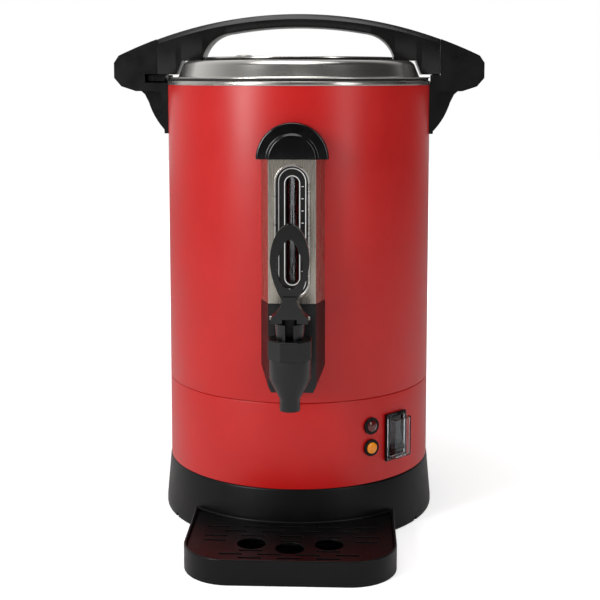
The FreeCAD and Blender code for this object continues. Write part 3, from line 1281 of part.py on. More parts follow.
def tap_lever():
    """Lever: a cam skirt over the stem's head, a neck and an oval finger loop."""
    foot = value("bonnet_top + lever_rest_gap")
    pin = value("pin_height")
    neck = value("lever_neck")
    neck_half = value("lever_neck_half")
    skirt_half = value("skirt_half")
    cheek = foot + value("cheek_height")
    bow = point(neck_half + value("cheek_bow"), foot + value("cheek_bow_height"))
    skirt_solid = slab([
        line(point(-skirt_half, foot), point(skirt_half, foot)),
        line(point(skirt_half, foot), point(skirt_half, cheek)),
        bend(point(skirt_half, cheek), bow, point(neck_half, neck)),
        line(point(neck_half, neck), point(-neck_half, neck)),
        bend(point(-neck_half, neck), point(-bow.x, bow.z), point(-skirt_half, cheek)),
        line(point(-skirt_half, cheek), point(-skirt_half, foot)),
    ], 2 * value("lever_foot"))
    half = value("lever_half")
    top = value("lever_top")
    middle = (top + neck) / 2 - value("loop_drop")
    loop_low = neck - value("loop_lap")
    root_half = neck_half - value("head_gap")
    flank_share, flank_fall = 0.72, 0.62
    flank = point(half * flank_share, middle - (middle - loop_low) * flank_fall)
    loop = slab([
        bend(point(-half, middle), point(0, top), point(half, middle)),
        bend(point(half, middle), flank, point(root_half, loop_low)),
        line(point(root_half, loop_low), point(-root_half, loop_low)),
        bend(point(-root_half, loop_low), point(-flank.x, flank.z), point(-half, middle)),
    ], 2 * value("lever_half_depth"))
    hole_low = value("lever_hole_bottom")
    hole_high = value("lever_hole_top")
    oval = Part.Ellipse(Vector(), (hole_high - hole_low) / 2, value("lever_hole_half")).toShape()
    depth = 2 * value("lever_foot")
    oval_hole = Part.Face(Part.Wire(oval)).extrude(Vector(0, 0, depth))
    oval_hole.Placement = Placement(Vector(0, depth / 2, (hole_low + hole_high) / 2),
                                    FORWARD * Rotation(Vector(0, 0, 1), 90))
    cavity_half = value("stem_head_r + head_gap")
    cavity_r = value("stem_head_flat + stem_head_flat / 2")
    cavity = Part.makeCylinder(cavity_r, 2 * cavity_half, Vector(-cavity_half, 0, pin), Vector(1, 0, 0))
    mouth = Part.makeBox(2 * cavity_half, depth / 2 + over + cavity_r, pin - foot + over,
                         Vector(-cavity_half, -depth / 2 - over, foot - over))
    pin_half = value("pin_half")
    pin_hole = Part.makeCylinder(value("pin_r"), 2 * pin_half, Vector(-pin_half, 0, pin), Vector(1, 0, 0))
    lever = skirt_solid.fuse(loop).cut(oval_hole).cut(cavity.fuse(mouth)).cut(pin_hole).removeSplitter()
    lever.translate(Vector(0, -value("tap_y"), 0))
    return lever


shaped("tap_lever", tap_lever())
keep("lever_pin", cylinder("lever_pin", "pin_r", "pin_half * 2", ("-pin_half", "-tap_y", "pin_height"),
                           SIDEWAYS))

# Rocker switch: bezel with barrel, rocker on its pivot, clear boot over both
bezel_back = "body_r + panel_gap"
bezel_front = "body_r + panel_gap + bezel_wall"
bezel = new_body("switch_bezel", turn="switch_angle")
flange_outline = box_outline("-bezel_half", "switch_height - bezel_half_tall",
                             "bezel_half", "switch_height + bezel_half_tall")
barrel_outline = box_outline("-switch_half", "switch_height - switch_half_tall",
                             "switch_half", "switch_height + switch_half_tall")
well_outline = box_outline("-rocker_half - rocker_gap", "switch_height - rocker_half_tall - rocker_end_gap",
                           "rocker_half + rocker_gap", "switch_height + rocker_half_tall + rocker_end_gap")
pivot_half = "rocker_half + rocker_gap + pivot_reach"
pad(bezel, "XZ_Plane", bezel_back, "bezel_wall", [flange_outline])
pad(bezel, "XZ_Plane", f"{bezel_back} - switch_depth", "switch_depth", [barrel_outline])
pocket(bezel, "XZ_Plane", f"{bezel_back} - switch_depth + well_floor",
       "switch_depth + bezel_wall - well_floor", [well_outline])
pocket(bezel, "YZ_Plane", f"-({pivot_half}) - pivot_gap", f"({pivot_half} + pivot_gap) * 2",
       circles=[("-rocker_pivot", "switch_height", "pivot_r + pivot_gap")])


def rocker_shape():
    """A rocker with a shallow V face, drawn at its middle position and tipped to rest."""
    half = value("rocker_half")
    tall = value("rocker_half_tall")
    front = value("rocker_front")
    rise = tall * math.tan(math.radians(value("rocker_angle")))
    edge = value("rocker_edge")
    root = -value("rocker_root")
    root_half = value("rocker_root_half")
    profile = [(front, 0), (front + rise, tall), (edge, tall), (root, root_half),
               (root, -root_half), (edge, -tall), (front + rise, -tall)]
    corners = [Vector(-half, -out, up) for out, up in profile]
    face = Part.Face(Part.makePolygon(corners + corners[:1]))
    pins = Part.makeCylinder(value("pivot_r"), value(f"({pivot_half}) * 2"),
                             Vector(-value(pivot_half), 0, 0), Vector(1, 0, 0))
    rocker = face.extrude(Vector(2 * half, 0, 0)).fuse(pins).removeSplitter()
    rocker.rotate(Vector(), Vector(1, 0, 0), -value("rocker_angle"))
    rocker.translate(Vector(0, -value("rocker_pivot"), value("switch_height")))
    rocker.rotate(Vector(), up_axis, value("switch_angle"))
    return rocker


shaped("switch_rocker", rocker_shape())
boot = new_body("switch_boot", turn="switch_angle")
boot_half = "rocker_half + rocker_gap + boot_wall"
boot_half_tall = "rocker_half_tall + rocker_end_gap + boot_wall"
pad(boot, "XZ_Plane", bezel_front, "boot_wall", [
    box_outline("-bezel_half + boot_inset", "switch_height - bezel_half_tall + boot_inset",
                "bezel_half - boot_inset", "switch_height + bezel_half_tall - boot_inset")])
pad(boot, "XZ_Plane", bezel_front, "boot_height", [
    box_outline(neg(boot_half), f"switch_height - ({boot_half_tall})",
                boot_half, f"switch_height + {boot_half_tall}")])
pocket(boot, "XZ_Plane", bezel_front, "boot_height - boot_wall", [well_outline])

# Pilot lamps: ring with barrel, and a domed lens in each
def facing(radius, back, front, height):
    """A cylinder that points out of the front, between two distances from the axis."""
    return Part.makeCylinder(radius, front - back, Vector(0, -back, height), to_front)


panel = value(bezel_back)
lamp_rings = []
for lamp in ("lamp_high", "lamp_low"):
    height = value(lamp)
    ring_front = panel + value("lamp_ring_height")
    solid = facing(value("lamp_ring_r"), panel, ring_front, height).fuse(
        facing(value("lamp_r"), panel - value("lamp_depth"), panel, height))
    solid = solid.cut(facing(value("lens_r"), panel - value("lens_depth"), ring_front + over, height))
    solid = solid.removeSplitter()
    solid.rotate(Vector(), up_axis, value("lamp_angle"))
    lamp_rings.append(solid)
shaped("lamp_bezels", Part.makeCompound(lamp_rings))


def lens_shape(height):
    """A lens: a short rod with a domed front."""
    lens_r = value("lens_r")
    back = panel - value("lens_depth")
    ring_front = panel + value("lamp_ring_height")
    tip = ring_front + value("lens_proud")
    dome_r = value("lens_dome_r")
    dome = Part.makeSphere(dome_r, Vector(0, dome_r - tip, height))
    lens = facing(lens_r, back, ring_front, height).fuse(
        facing(lens_r, ring_front - over, tip, height).common(dome)).removeSplitter()
    lens.rotate(Vector(), up_axis, value("lamp_angle"))
    return lens


shaped("lamp_lens_red", lens_shape(value("lamp_high")))
shaped("lamp_lens_amber", lens_shape(value("lamp_low")))

# Mains inlet at the back, with three pins
inlet = new_body("inlet_socket", turn="180")
inlet_body = box_outline("-inlet_half", "inlet_height - inlet_half_tall",
                         "inlet_half", "inlet_height + inlet_half_tall")
inlet_flange = box_outline("-inlet_half - inlet_flange", "inlet_height - inlet_half_tall - inlet_flange",
                           "inlet_half + inlet_flange", "inlet_height + inlet_half_tall + inlet_flange")
inlet_cavity = box_outline("-cavity_half", "inlet_height - cavity_half_tall",
                           "cavity_half", "inlet_height + cavity_half_tall")
pad(inlet, "XZ_Plane", bezel_back, "inlet_lip", [inlet_flange])
pad(inlet, "XZ_Plane", f"{bezel_back} - inlet_depth", "inlet_depth", [inlet_body])
cavity_bottom = f"{bezel_back} + inlet_lip - cavity_depth"
pocket(inlet, "XZ_Plane", cavity_bottom, "cavity_depth", [inlet_cavity])
shaped("inlet_pins", Part.makeCompound([
    Part.makeBox(*(value(size) for size in ("blade_half * 2", "blade_length", "blade_half_tall * 2")),
                 Vector(value(f"{place} * blade_pitch - blade_half"), value(cavity_bottom),
                        value(f"inlet_height + {side} * blade_stagger - blade_half_tall")))
    for place, side in ((-1, 1), (0, -1), (1, 1))
]))

# Heating: two tubular elements under the tank floor, pressed up by a clamp plate
element_height = "tank_floor - tank_wall - element_tube_r"


def element_loop(loop_r, tube_r, open_angle):
    """A loop of tube about the urn's axis, open towards the back."""
    loop = Part.makeTorus(value(loop_r), value(tube_r), Vector(), up_axis, -180, 180, 360 - open_angle)
    loop.rotate(Vector(), up_axis, 90 + open_angle / 2)
    return loop


boil = element_loop("element_r", "element_tube_r", value("element_opening"))
boil.translate(Vector(0, 0, value(element_height)))
shaped("boil_element", boil)
warm = element_loop("warm_r", "warm_tube_r", value("warm_opening"))
warm.translate(Vector(0, 0, value("tank_floor - tank_wall - warm_tube_r")))
shaped("warm_element", warm)
clamp_top = "tank_floor - tank_wall - element_tube_r * 2"
clamp = new_body("element_clamp")
revolve(clamp, [
    ("0", f"{clamp_top} - clamp_wall - clamp_nut"),
    ("stud_r * 2", f"{clamp_top} - clamp_wall - clamp_nut"),
    ("stud_r * 2", f"{clamp_top} - clamp_wall"),
    ("clamp_r", f"{clamp_top} - clamp_wall"),
    ("clamp_r", clamp_top),
    ("stud_r", clamp_top),
    ("stud_r", floor_under),
    ("0", floor_under),
])
thermostats = []
for sign in (1, -1):
    thermostats.append(Part.makeCylinder(
        value("thermostat_r"), value("thermostat_height"),
        Vector(sign * value("thermostat_place"), 0, value(floor_under) - value("thermostat_height"))))
shaped("thermostats", Part.makeCompound(thermostats))
fuse_place = ("-fuse_length / 2", "-clamp_r - fuse_r - fuse_gap", floor_under + " - fuse_r")
keep("thermal_fuse", cylinder("thermal_fuse", "fuse_r", "fuse_length", fuse_place, SIDEWAYS))
block_low = ("-block_length / 2", "block_place", "shelf_height")
block_high = ("block_length / 2", "block_place + block_width", "shelf_height + block_height")
keep("terminal_block", block("terminal_block", block_low, block_high))

# Percolator insert: bell, pump tube, basket and its lid, with a loose valve disc
neck_height = "tank_floor + bell_height"
bell = new_body("bell_cone", kept=False)
revolve(bell, [
    ("bell_r - basket_wall", "tank_floor"),
    ("bell_r", "tank_floor"),
    ("bell_r", "tank_floor + bell_band"),
    ("pump_r + basket_wall", neck_height),
    ("pump_r + basket_wall", f"{neck_height} + bell_neck"),
    ("pump_r", f"{neck_height} + bell_neck"),
    ("pump_r", f"{neck_height} - basket_wall"),
    ("bell_r - basket_wall", "tank_floor + bell_band - basket_wall"),
])
cut("pump_bell", bell, [
    block("bell_port_across", ("-bell_r * 2", "-port_half", "tank_floor - overcut"),
          ("bell_r * 2", "port_half", "tank_floor + port_height")),
    block("bell_port_along", ("-port_half", "-bell_r * 2", "tank_floor - overcut"),
          ("port_half", "bell_r * 2", "tank_floor + port_height")),
])
revolve(new_body("pump_tube"), [
    ("pump_bore_r", neck_height),
    ("pump_r", neck_height),
    ("pump_r", "basket_bottom - stop_height"),
    ("stop_r", "basket_bottom - stop_height"),
    ("stop_r", "basket_bottom"),
    ("pump_r", "basket_bottom"),
    ("pump_r", "pump_top"),
    ("pump_bore_r", "pump_top"),
])
pad(new_body("pump_valve"), "XY_Plane", "tank_floor", "valve_wall", circles=[("0", "0", "valve_r")])


def sieve(name, holes, corners, low):
    """A turned sheet piece with rings of round sieve holes through its flat."""
    solid = new_body(name)
    revolve(solid, corners)
    circles = []
    for ring_share, count in holes:
        for number in range(count):
            angle = 2 * math.pi * number / count
            circles.append((f"basket_r * {ring_share * math.cos(angle):.5f}",
                            f"basket_r * {ring_share * math.sin(angle):.5f}", "sieve_hole_r"))
    pocket(solid, "XY_Plane", low, "basket_wall", circles=circles)
    return solid


basket_top = "basket_bottom + basket_height"
sieve_rings = [(0.3, 8), (0.55, 14), (0.8, 20)]
sieve("coffee_basket", sieve_rings, [
    ("pump_r + basket_gap", "basket_bottom"),
    ("basket_r", "basket_bottom"),
    ("basket_r", basket_top + " - basket_wall"),
    ("basket_r + basket_lip", basket_top + " - basket_wall"),
    ("basket_r + basket_lip", basket_top),
    ("basket_r - basket_wall", basket_top),
    ("basket_r - basket_wall", "basket_bottom + basket_wall"),
    ("pump_r + basket_gap", "basket_bottom + basket_wall"),
], "basket_bottom")
sieve("basket_lid", sieve_rings, [
    ("pump_r + basket_gap", basket_top),
    ("basket_r + basket_lip", basket_top),
    ("basket_r + basket_lip", basket_top + " + basket_lid_rim"),
    ("basket_r + basket_lip - basket_wall", basket_top + " + basket_lid_rim"),
    ("basket_r + basket_lip - basket_wall", basket_top + " + basket_wall"),
    ("pump_r + basket_gap", basket_top + " + basket_wall"),
], basket_top)


# Drip tray: moulded pan that nests against the skirt, with a ledge for its grate
def tray_block(inset, low, high):
    """The tray's plan drawn in by an inset, between two heights."""
    half = value("tray_half") - inset
    front = value("tray_front") - inset
    corner = value("tray_corner") - inset
    length = front - value("body_r - tray_root")
    plan = Part.makeBox(2 * half, length, high - low, Vector(-half, -front, low))
    upright = [
        edge for edge in plan.Edges
        if abs(edge.Vertexes[0].Z - edge.Vertexes[1].Z) > hair and edge.Vertexes[0].Y < hair - front
    ]
    plan = plan.makeFillet(corner, upright)
    return plan.cut(drum(value("skirt_r + tray_gap") + inset, low - over, high + over))


hair = value("hair")
rim = value("tray_height")
wall = value("tray_wall")
grate_top = rim - value("grate_drop")
grate_bottom = grate_top - value("grate_wall")
tray = tray_block(0, 0, rim)
tray = tray.cut(tray_block(wall, grate_bottom, rim + over))
tray = tray.cut(tray_block(wall + value("tray_ledge"), value("tray_floor"), grate_bottom + over))
shaped("drip_tray", tray.removeSplitter())

# Grate: plate with three round holes and rows of short slots between them
grate = tray_block(wall + value("grate_gap"), grate_bottom, grate_top)
front = value("tray_front")
hole_places = [(0, value("middle_hole_inset") - front)]
for side in (1, -1):
    hole_places.append((side * value("side_hole_x"), value("side_hole_inset") - front))
# Rows of slots: distance back from the tray's front, places along the row in slot pitches
dash_rows = [
    (70.4, (-2, -1, 0, 1, 2)),
    (61.6, (-1.5, -0.5, 0.5, 1.5)),
    (52.4, (-2, -1, 0, 1, 2)),
    (43.0, (-2, 0, 2)),
    (24.0, (-1, 1)),
    (17.3, (-1.5, -0.5, 0.5, 1.5)),
    (10.6, (-1, 0, 1)),
]
cutter_low = grate_bottom - over
cutter_height = value("grate_wall") + 2 * over
grate_cutters = [
    Part.makeCylinder(value("grate_hole_r"), cutter_height, Vector(across, along, cutter_low))
    for across, along in hole_places
]
pitch = value("dash_pitch")
long_half = value("dash_length") / 2
wide_half = value("dash_width") / 2
keep_clear = value("grate_hole_r + hole_rim")
edge_half = value("tray_half - tray_wall - dash_edge")
corner_solid = value("dash_corner")
for inset, columns in dash_rows:
    along = inset - front
    for column in columns:
        across = column * pitch
        outer_end = abs(across) + long_half
        if outer_end > edge_half or math.hypot(across, along) < value("skirt_r + dash_back"):
            continue
        rims = [
            math.hypot(max(abs(across - hole_x) - long_half, 0), max(abs(along - hole_y) - wide_half, 0))
            for hole_x, hole_y in hole_places
        ]
        if min(rims) < keep_clear or (inset < corner_solid and outer_end > value("tray_half") - corner_solid):
            continue
        grate_cutters.append(Part.makeBox(2 * long_half, 2 * wide_half, cutter_height,
                                          Vector(across - long_half, along - wide_half, cutter_low)))
shaped("drip_grate", grate.cut(Part.makeCompound(grate_cutters)).removeSplitter())

# Rebuild, check every object and write the pieces
doc.recompute()
for made in doc.Objects:
    if {"Invalid", "Error"} & set(made.State):
        raise RuntimeError(f"{made.Name} did not rebuild: {made.State}")
for name, piece in sorted(pieces.items()):
    shape = piece.Shape
    if shape.isNull() or not shape.isValid() or not shape.Solids:
        raise RuntimeError(f"{name} has no valid solid")
    if piece.Label != name:
        raise RuntimeError(f"{name} is labelled {piece.Label}")
    shape.exportStep(f"parts/{name}.step")
print(len(pieces), "pieces written")
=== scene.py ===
import math
import bmesh
import bpy
import numpy as np
from mathutils import Matrix, Vector


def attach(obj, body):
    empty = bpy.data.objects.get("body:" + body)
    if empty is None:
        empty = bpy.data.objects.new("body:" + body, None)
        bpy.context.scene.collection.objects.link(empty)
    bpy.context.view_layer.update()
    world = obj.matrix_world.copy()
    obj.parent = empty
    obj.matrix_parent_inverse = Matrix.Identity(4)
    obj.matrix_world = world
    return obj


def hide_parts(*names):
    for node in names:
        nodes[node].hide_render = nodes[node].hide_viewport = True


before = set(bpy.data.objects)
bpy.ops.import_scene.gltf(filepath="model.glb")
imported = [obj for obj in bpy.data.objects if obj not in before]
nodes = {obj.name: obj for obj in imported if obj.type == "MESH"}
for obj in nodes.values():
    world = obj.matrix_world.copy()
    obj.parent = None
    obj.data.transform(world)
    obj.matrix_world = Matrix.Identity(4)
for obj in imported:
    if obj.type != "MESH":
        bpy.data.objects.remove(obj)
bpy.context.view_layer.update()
MM = 0.001

# Camera: level with the top of the jacket, a little to the right of the tap, looking slightly down.
# The lens was fitted to the drum's ellipses and silhouette in the photograph.
turn = math.radians(2.4)
camera_data = bpy.data.cameras.new("camera")
camera_data.sensor_width = 36
camera_data.lens = 71.81
camera_data.shift_x = 0.0018
camera_data.shift_y = -0.167
camera_data.clip_end = 50
camera = bpy.data.objects.new("camera", camera_data)
camera.location = (1.0165 * math.sin(turn), -1.0165 * math.cos(turn), 0.367)
camera.rotation_euler = (math.radians(90 - 6.03), 0, turn)
bpy.context.scene.collection.objects.link(camera)
bpy.context.scene.camera = camera
bpy.context.scene.view_settings.view_transform = "Standard"


def linear(hex_colour):
    """An sRGB hex colour as a linear RGBA tuple: each channel is undone with the sRGB curve."""
    channels = [int(hex_colour[i:i + 2], 16) / 255 for i in (1, 3, 5)]
    return tuple(c / 12.92 if c <= 0.04045 else ((c + 0.055) / 1.055) ** 2.4 for c in channels) + (1.0,)


def wire(tree, kind, inputs=None, **settings):
    """Adds a node; settings are its properties, and inputs are values or sockets by name or number."""
    made = tree.nodes.new(kind)
    for name, setting in settings.items():
        setattr(made, name, setting)
    for name, given in (inputs or {}).items():
        if isinstance(given, bpy.types.NodeSocket):
            tree.links.new(given, made.inputs[name])
        else:
            made.inputs[name].default_value = given
    return made


# World: white where the camera or a clear piece looks at it, and a plain soft grey as light. In a gloss
# it is white only towards the back left and falls to near black at the front right, so that the dark
# pieces keep their bright left flanks and dark fronts.
world = bpy.data.worlds.new("studio")
bpy.context.scene.world = world
world.use_nodes = True
sky = world.node_tree
sky.nodes.clear()
look = wire(sky, "ShaderNodeLightPath")
seen = wire(sky, "ShaderNodeMath", {0: look.outputs["Is Camera Ray"], 1: look.outputs["Is Transmission Ray"]},
            operation="MAXIMUM")
level = wire(sky, "ShaderNodeMapRange", {"Value": seen.outputs[0], "To Min": 0.34, "To Max": 1.0})
way = wire(sky, "ShaderNodeTexCoord")
BACK_LEFT = (-0.45, 0.89, 0)
toward = wire(sky, "ShaderNodeVectorMath", {0: way.outputs["Generated"], 1: BACK_LEFT},
              operation="DOT_PRODUCT")
gloss_level = wire(sky, "ShaderNodeMapRange", {"Value": toward.outputs["Value"], "From Min": 0.0,
                                               "From Max": 0.95, "To Min": 0.03, "To Max": 0.9})
strength = wire(sky, "ShaderNodeMix", {0: look.outputs["Is Glossy Ray"], 2: level.outputs[0],
                                       3: gloss_level.outputs[0]})
backdrop = wire(sky, "ShaderNodeBackground", {"Color": linear("#ffffff"), "Strength": strength.outputs[0]})
wire(sky, "ShaderNodeOutputWorld", {"Surface": backdrop.outputs[0]})

# Floor: a matt white sheet. It is lifted to white where the camera sees it, more so far from the urn, and
# keeps the soft shadow.
FLOOR_HALF = 4.0
floor_mesh = bpy.data.meshes.new("floor")
floor_mesh.from_pydata([(-FLOOR_HALF, -FLOOR_HALF, 0), (FLOOR_HALF, -FLOOR_HALF, 0),
                        (FLOOR_HALF, FLOOR_HALF, 0), (-FLOOR_HALF, FLOOR_HALF, 0)], [], [(0, 1, 2, 3)])
floor = bpy.data.objects.new("floor", floor_mesh)
bpy.context.scene.collection.objects.link(floor)
paper = bpy.data.materials.new("white_floor")
paper.use_nodes = True
tree = paper.node_tree
tree.nodes.clear()
matt = wire(tree, "ShaderNodeBsdfDiffuse", {"Color": linear("#e6e6e6")})
look = wire(tree, "ShaderNodeLightPath")
lift = wire(tree, "ShaderNodeMath", {0: look.outputs["Is Camera Ray"],
                                     1: look.outputs["Is Transmission Ray"]}, operation="MAXIMUM")
place = wire(tree, "ShaderNodeTexCoord")
distance = wire(tree, "ShaderNodeVectorMath", {0: place.outputs["Object"]}, operation="LENGTH")
far = wire(tree, "ShaderNodeMapRange", {"Value": distance.outputs["Value"], "From Min": 0.2, "From Max": 0.9,
                                        "To Min": 0.55, "To Max": 1.1})
strength = wire(tree, "ShaderNodeMath", {0: lift.outputs[0], 1: far.outputs[0]}, operation="MULTIPLY")
glow = wire(tree, "ShaderNodeEmission", {"Color": linear("#ffffff"), "Strength": strength.outputs[0]})
both = wire(tree, "ShaderNodeAddShader", {0: matt.outputs[0], 1: glow.outputs[0]})
wire(tree, "ShaderNodeOutputMaterial", {"Surface": both.outputs[0]})
floor_mesh.materials.append(paper)


# Lights: one tall soft box on each side of the camera, which give the drum its two broad
# upright highlights, and a weaker one overhead.
def soft_box(name, place, target, width, height, power):
    """An area lamp at a place, pointed at a target."""
    data = bpy.data.lights.new(name, "AREA")
    data.shape = "RECTANGLE"
    data.size, data.size_y, data.energy = width, height, power
    lamp = bpy.data.objects.new(name, data)
    lamp.location = place
    lamp.rotation_euler = (Vector(target) - Vector(place)).to_track_quat("-Z", "Y").to_euler()
    bpy.context.scene.collection.objects.link(lamp)


soft_box("left_box", (-1.3, -1.35, 0.98), (0, 0, 0.3), 0.42, 1.1, 24)
soft_box("right_box", (1.15, -1.3, 0.85), (0, 0, 0.3), 0.3, 1.2, 6)
soft_box("top_box", (-0.1, -0.2, 1.7), (0, 0, 0.3), 1.0, 0.9, 9)


# Red jacket and lower housing: rolled steel sheet, powder coated in satin red. The jacket stands on
# the housing's lip, and the two edges leave a fine open seam.


def shader(name):
    """A new material: its tree and its one surface shader."""
    made = bpy.data.materials.new(name)
    made.use_nodes = True
    made.node_tree.nodes.clear()
    surface = wire(made.node_tree, "ShaderNodeBsdfPrincipled")
    wire(made.node_tree, "ShaderNodeOutputMaterial", {"Surface": surface.outputs[0]})
    return made, made.node_tree, surface


def mottle(tree, surface, colour_low, colour_high, rough_low, rough_high, size_mm, stretch=(1, 1, 1)):
    """Slight colour and gloss changes from one noise: its value, 0.3 to 0.7, runs between the two ends."""
    place = wire(tree, "ShaderNodeTexCoord")
    scaled = wire(tree, "ShaderNodeMapping", {"Vector": place.outputs["Object"], "Scale": stretch})
    noise = wire(tree, "ShaderNodeTexNoise", {"Vector": scaled.outputs[0], "Scale": 1 / (size_mm * MM),
                                              "Detail": 3.0, "Roughness": 0.6})
    blend = wire(tree, "ShaderNodeMapRange", {"Value": noise.outputs[0], "From Min": 0.3, "From Max": 0.7})
    colour = wire(tree, "ShaderNodeMix", {0: blend.outputs[0], 6: linear(colour_low), 7: linear(colour_high)},
                  data_type="RGBA")
    gloss = wire(tree, "ShaderNodeMapRange", {"Value": blend.outputs[0], "To Min": rough_low,
                                              "To Max": rough_high})
    tree.links.new(colour.outputs[2], surface.inputs["Base Color"])
    tree.links.new(gloss.outputs[0], surface.inputs["Roughness"])
    return scaled


def grain(tree, surface, size_mm, height_mm, place, strength=1.0):
    """Fine relief: noise of a size in millimetres, its height in millimetres, as a bump."""
    noise = wire(tree, "ShaderNodeTexNoise", {"Vector": place.outputs[0], "Scale": 1 / (size_mm * MM),
                                              "Detail": 2.0})
    bump = wire(tree, "ShaderNodeBump", {"Height": noise.outputs[0], "Distance": height_mm * MM,
                                         "Strength": strength})
    tree.links.new(bump.outputs[0], surface.inputs["Normal"])


# Polyester powder coat: satin, with an orange-peel relief of about 1.5 mm that softens highlights
powder_coat, tree, surface = shader("red_powder_coat")
place = mottle(tree, surface, "#bb0f0c", "#c2120e", 0.34, 0.40, 40)
grain(tree, surface, 1.5, 0.012, place)
surface.inputs["IOR"].default_value = 1.5


def rounded(corners, radius, steps=4):
    """A closed outline with each corner replaced by a curve: the quadratic bend between two points
    that lie a radius before and after the corner, or less where the sides are short."""
    here = np.array([corner[:2] for corner in corners], float)
    wanted = np.array([corner[2] if len(corner) > 2 else radius for corner in corners], float)
    before, after = np.roll(here, 1, axis=0), np.roll(here, -1, axis=0)
    back, ahead = before - here, after - here
    back_length = np.linalg.norm(back, axis=1)
    ahead_length = np.linalg.norm(ahead, axis=1)
    reach = np.minimum(wanted, 0.49 * np.minimum(back_length, ahead_length))
    first = here + back / back_length[:, None] * reach[:, None]
    last = here + ahead / ahead_length[:, None] * reach[:, None]
    t = np.linspace(0, 1, steps)[None, :, None]
    curve = (1 - t) ** 2 * first[:, None] + 2 * t * (1 - t) * here[:, None] + t ** 2 * last[:, None]
    return curve.reshape(-1, 2)


def sheet_of(name, points, sharp=35):
    """A closed mesh from a grid of points (rows by columns by x, y, z) that wraps both ways. Points that
    fall together, as on an axis, are merged, and edges above an angle stay sharp."""
    rows, columns = points.shape[:2]
    index = np.arange(rows * columns).reshape(rows, columns)
    right, down = np.roll(index, -1, axis=1), np.roll(index, -1, axis=0)
    both = np.roll(right, -1, axis=0)
    faces = np.stack([index, right, both, down], axis=-1).reshape(-1, 4)
    mesh = bpy.data.meshes.new(name)
    mesh.from_pydata((points.reshape(-1, 3) * MM).tolist(), [], faces.tolist())
    tidy = bmesh.new()
    tidy.from_mesh(mesh)
    bmesh.ops.remove_doubles(tidy, verts=tidy.verts, dist=1e-6)
    bmesh.ops.dissolve_degenerate(tidy, edges=tidy.edges, dist=1e-7)
    bmesh.ops.recalc_face_normals(tidy, faces=tidy.faces)
    tidy.to_mesh(mesh)
    tidy.free()
    mesh.shade_smooth()
    mesh.set_sharp_from_angle(angle=math.radians(sharp))
    made = bpy.data.objects.new(name, mesh)
    bpy.context.scene.collection.objects.link(made)
    return made


def turned(name, corners, radius=0.4, segments=192, centre=(0, 0), sharp=35):
    """A piece turned about an upright axis: each point (r, z) of the rounded outline goes round as
    x = r cos a, y = r sin a, z."""
    outline = rounded(corners, radius)
    angle = np.linspace(0, 2 * math.pi, segments, endpoint=False)[:, None]
    r, z = outline[:, 0][None, :], outline[:, 1][None, :]
    points = np.stack([r * np.cos(angle) + centre[0], r * np.sin(angle) + centre[1], z + 0 * angle], axis=-1)
    return sheet_of(name, points, sharp)


def dress(piece, body, material, slot, *stands_for):
    """Gives a piece its material and body, and hides the nodes it stands for. The slot is not used."""
    piece.data.materials.clear()
    piece.data.materials.append(material)
    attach(piece, body)
    if stands_for:
        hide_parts(*stands_for)


def carve(piece, cutters):
    """Takes each cutter away from the piece with an exact boolean, then removes the cutters."""
    for cutter in cutters:
        step = piece.modifiers.new("opening", "BOOLEAN")
        step.operation, step.solver, step.object = "DIFFERENCE", "EXACT", cutter
    made = bpy.data.meshes.new_from_object(piece.evaluated_get(bpy.context.evaluated_depsgraph_get()))
    piece.modifiers.clear()
    piece.data = made
    made.shade_smooth()
    made.set_sharp_from_angle(angle=math.radians(35))
    for cutter in cutters:
        bpy.data.objects.remove(cutter)


def prism(name, half, low, high, near, far, angle_degrees, corner=0.3):
    """An upright block that points outwards: width 2 half, heights low to high, distances near to far
    from the axis, turned round the axis from the front."""
    outline = rounded([(-half, low), (half, low), (half, high), (-half, high)], corner)
    depth = np.array([near, near, far, far])[:, None]
    share = np.array([0.0, 1.0, 1.0, 0.0])[:, None]
    middle = np.array([0, (low + high) / 2])
    flat = middle[None, None] + (outline[None] - middle) * share[..., None]
    across, up, out = flat[..., 0], flat[..., 1], -depth + 0 * flat[..., 0]
    a = math.radians(angle_degrees)
    points = np.stack([across * math.cos(a) - out * math.sin(a),
                       across * math.sin(a) + out * math.cos(a), up],
                      axis=-1)
    return sheet_of(name, points)


def rod(name, radius, near, far, height, angle_degrees, across=0.0, edge=0.0, count=48):
    """A round rod that points outwards at an angle from the front, with a height and an edge radius."""
    ring = np.linspace(0, 2 * math.pi, count, endpoint=False)[None, :]
    steps = [(0, near), (radius - edge, near), (radius, near + edge), (radius, far - edge),
             (radius - edge, far), (0, far)]
    r = np.array([step[0] for step in steps])[:, None]
    out = -np.array([step[1] for step in steps])[:, None] + 0 * ring
    a = math.radians(angle_degrees)
    x = across + r * np.cos(ring)
    points = np.stack([x * math.cos(a) - out * math.sin(a), x * math.sin(a) + out * math.cos(a),
                       height + r * np.sin(ring)], axis=-1)
    return sheet_of(name, points)


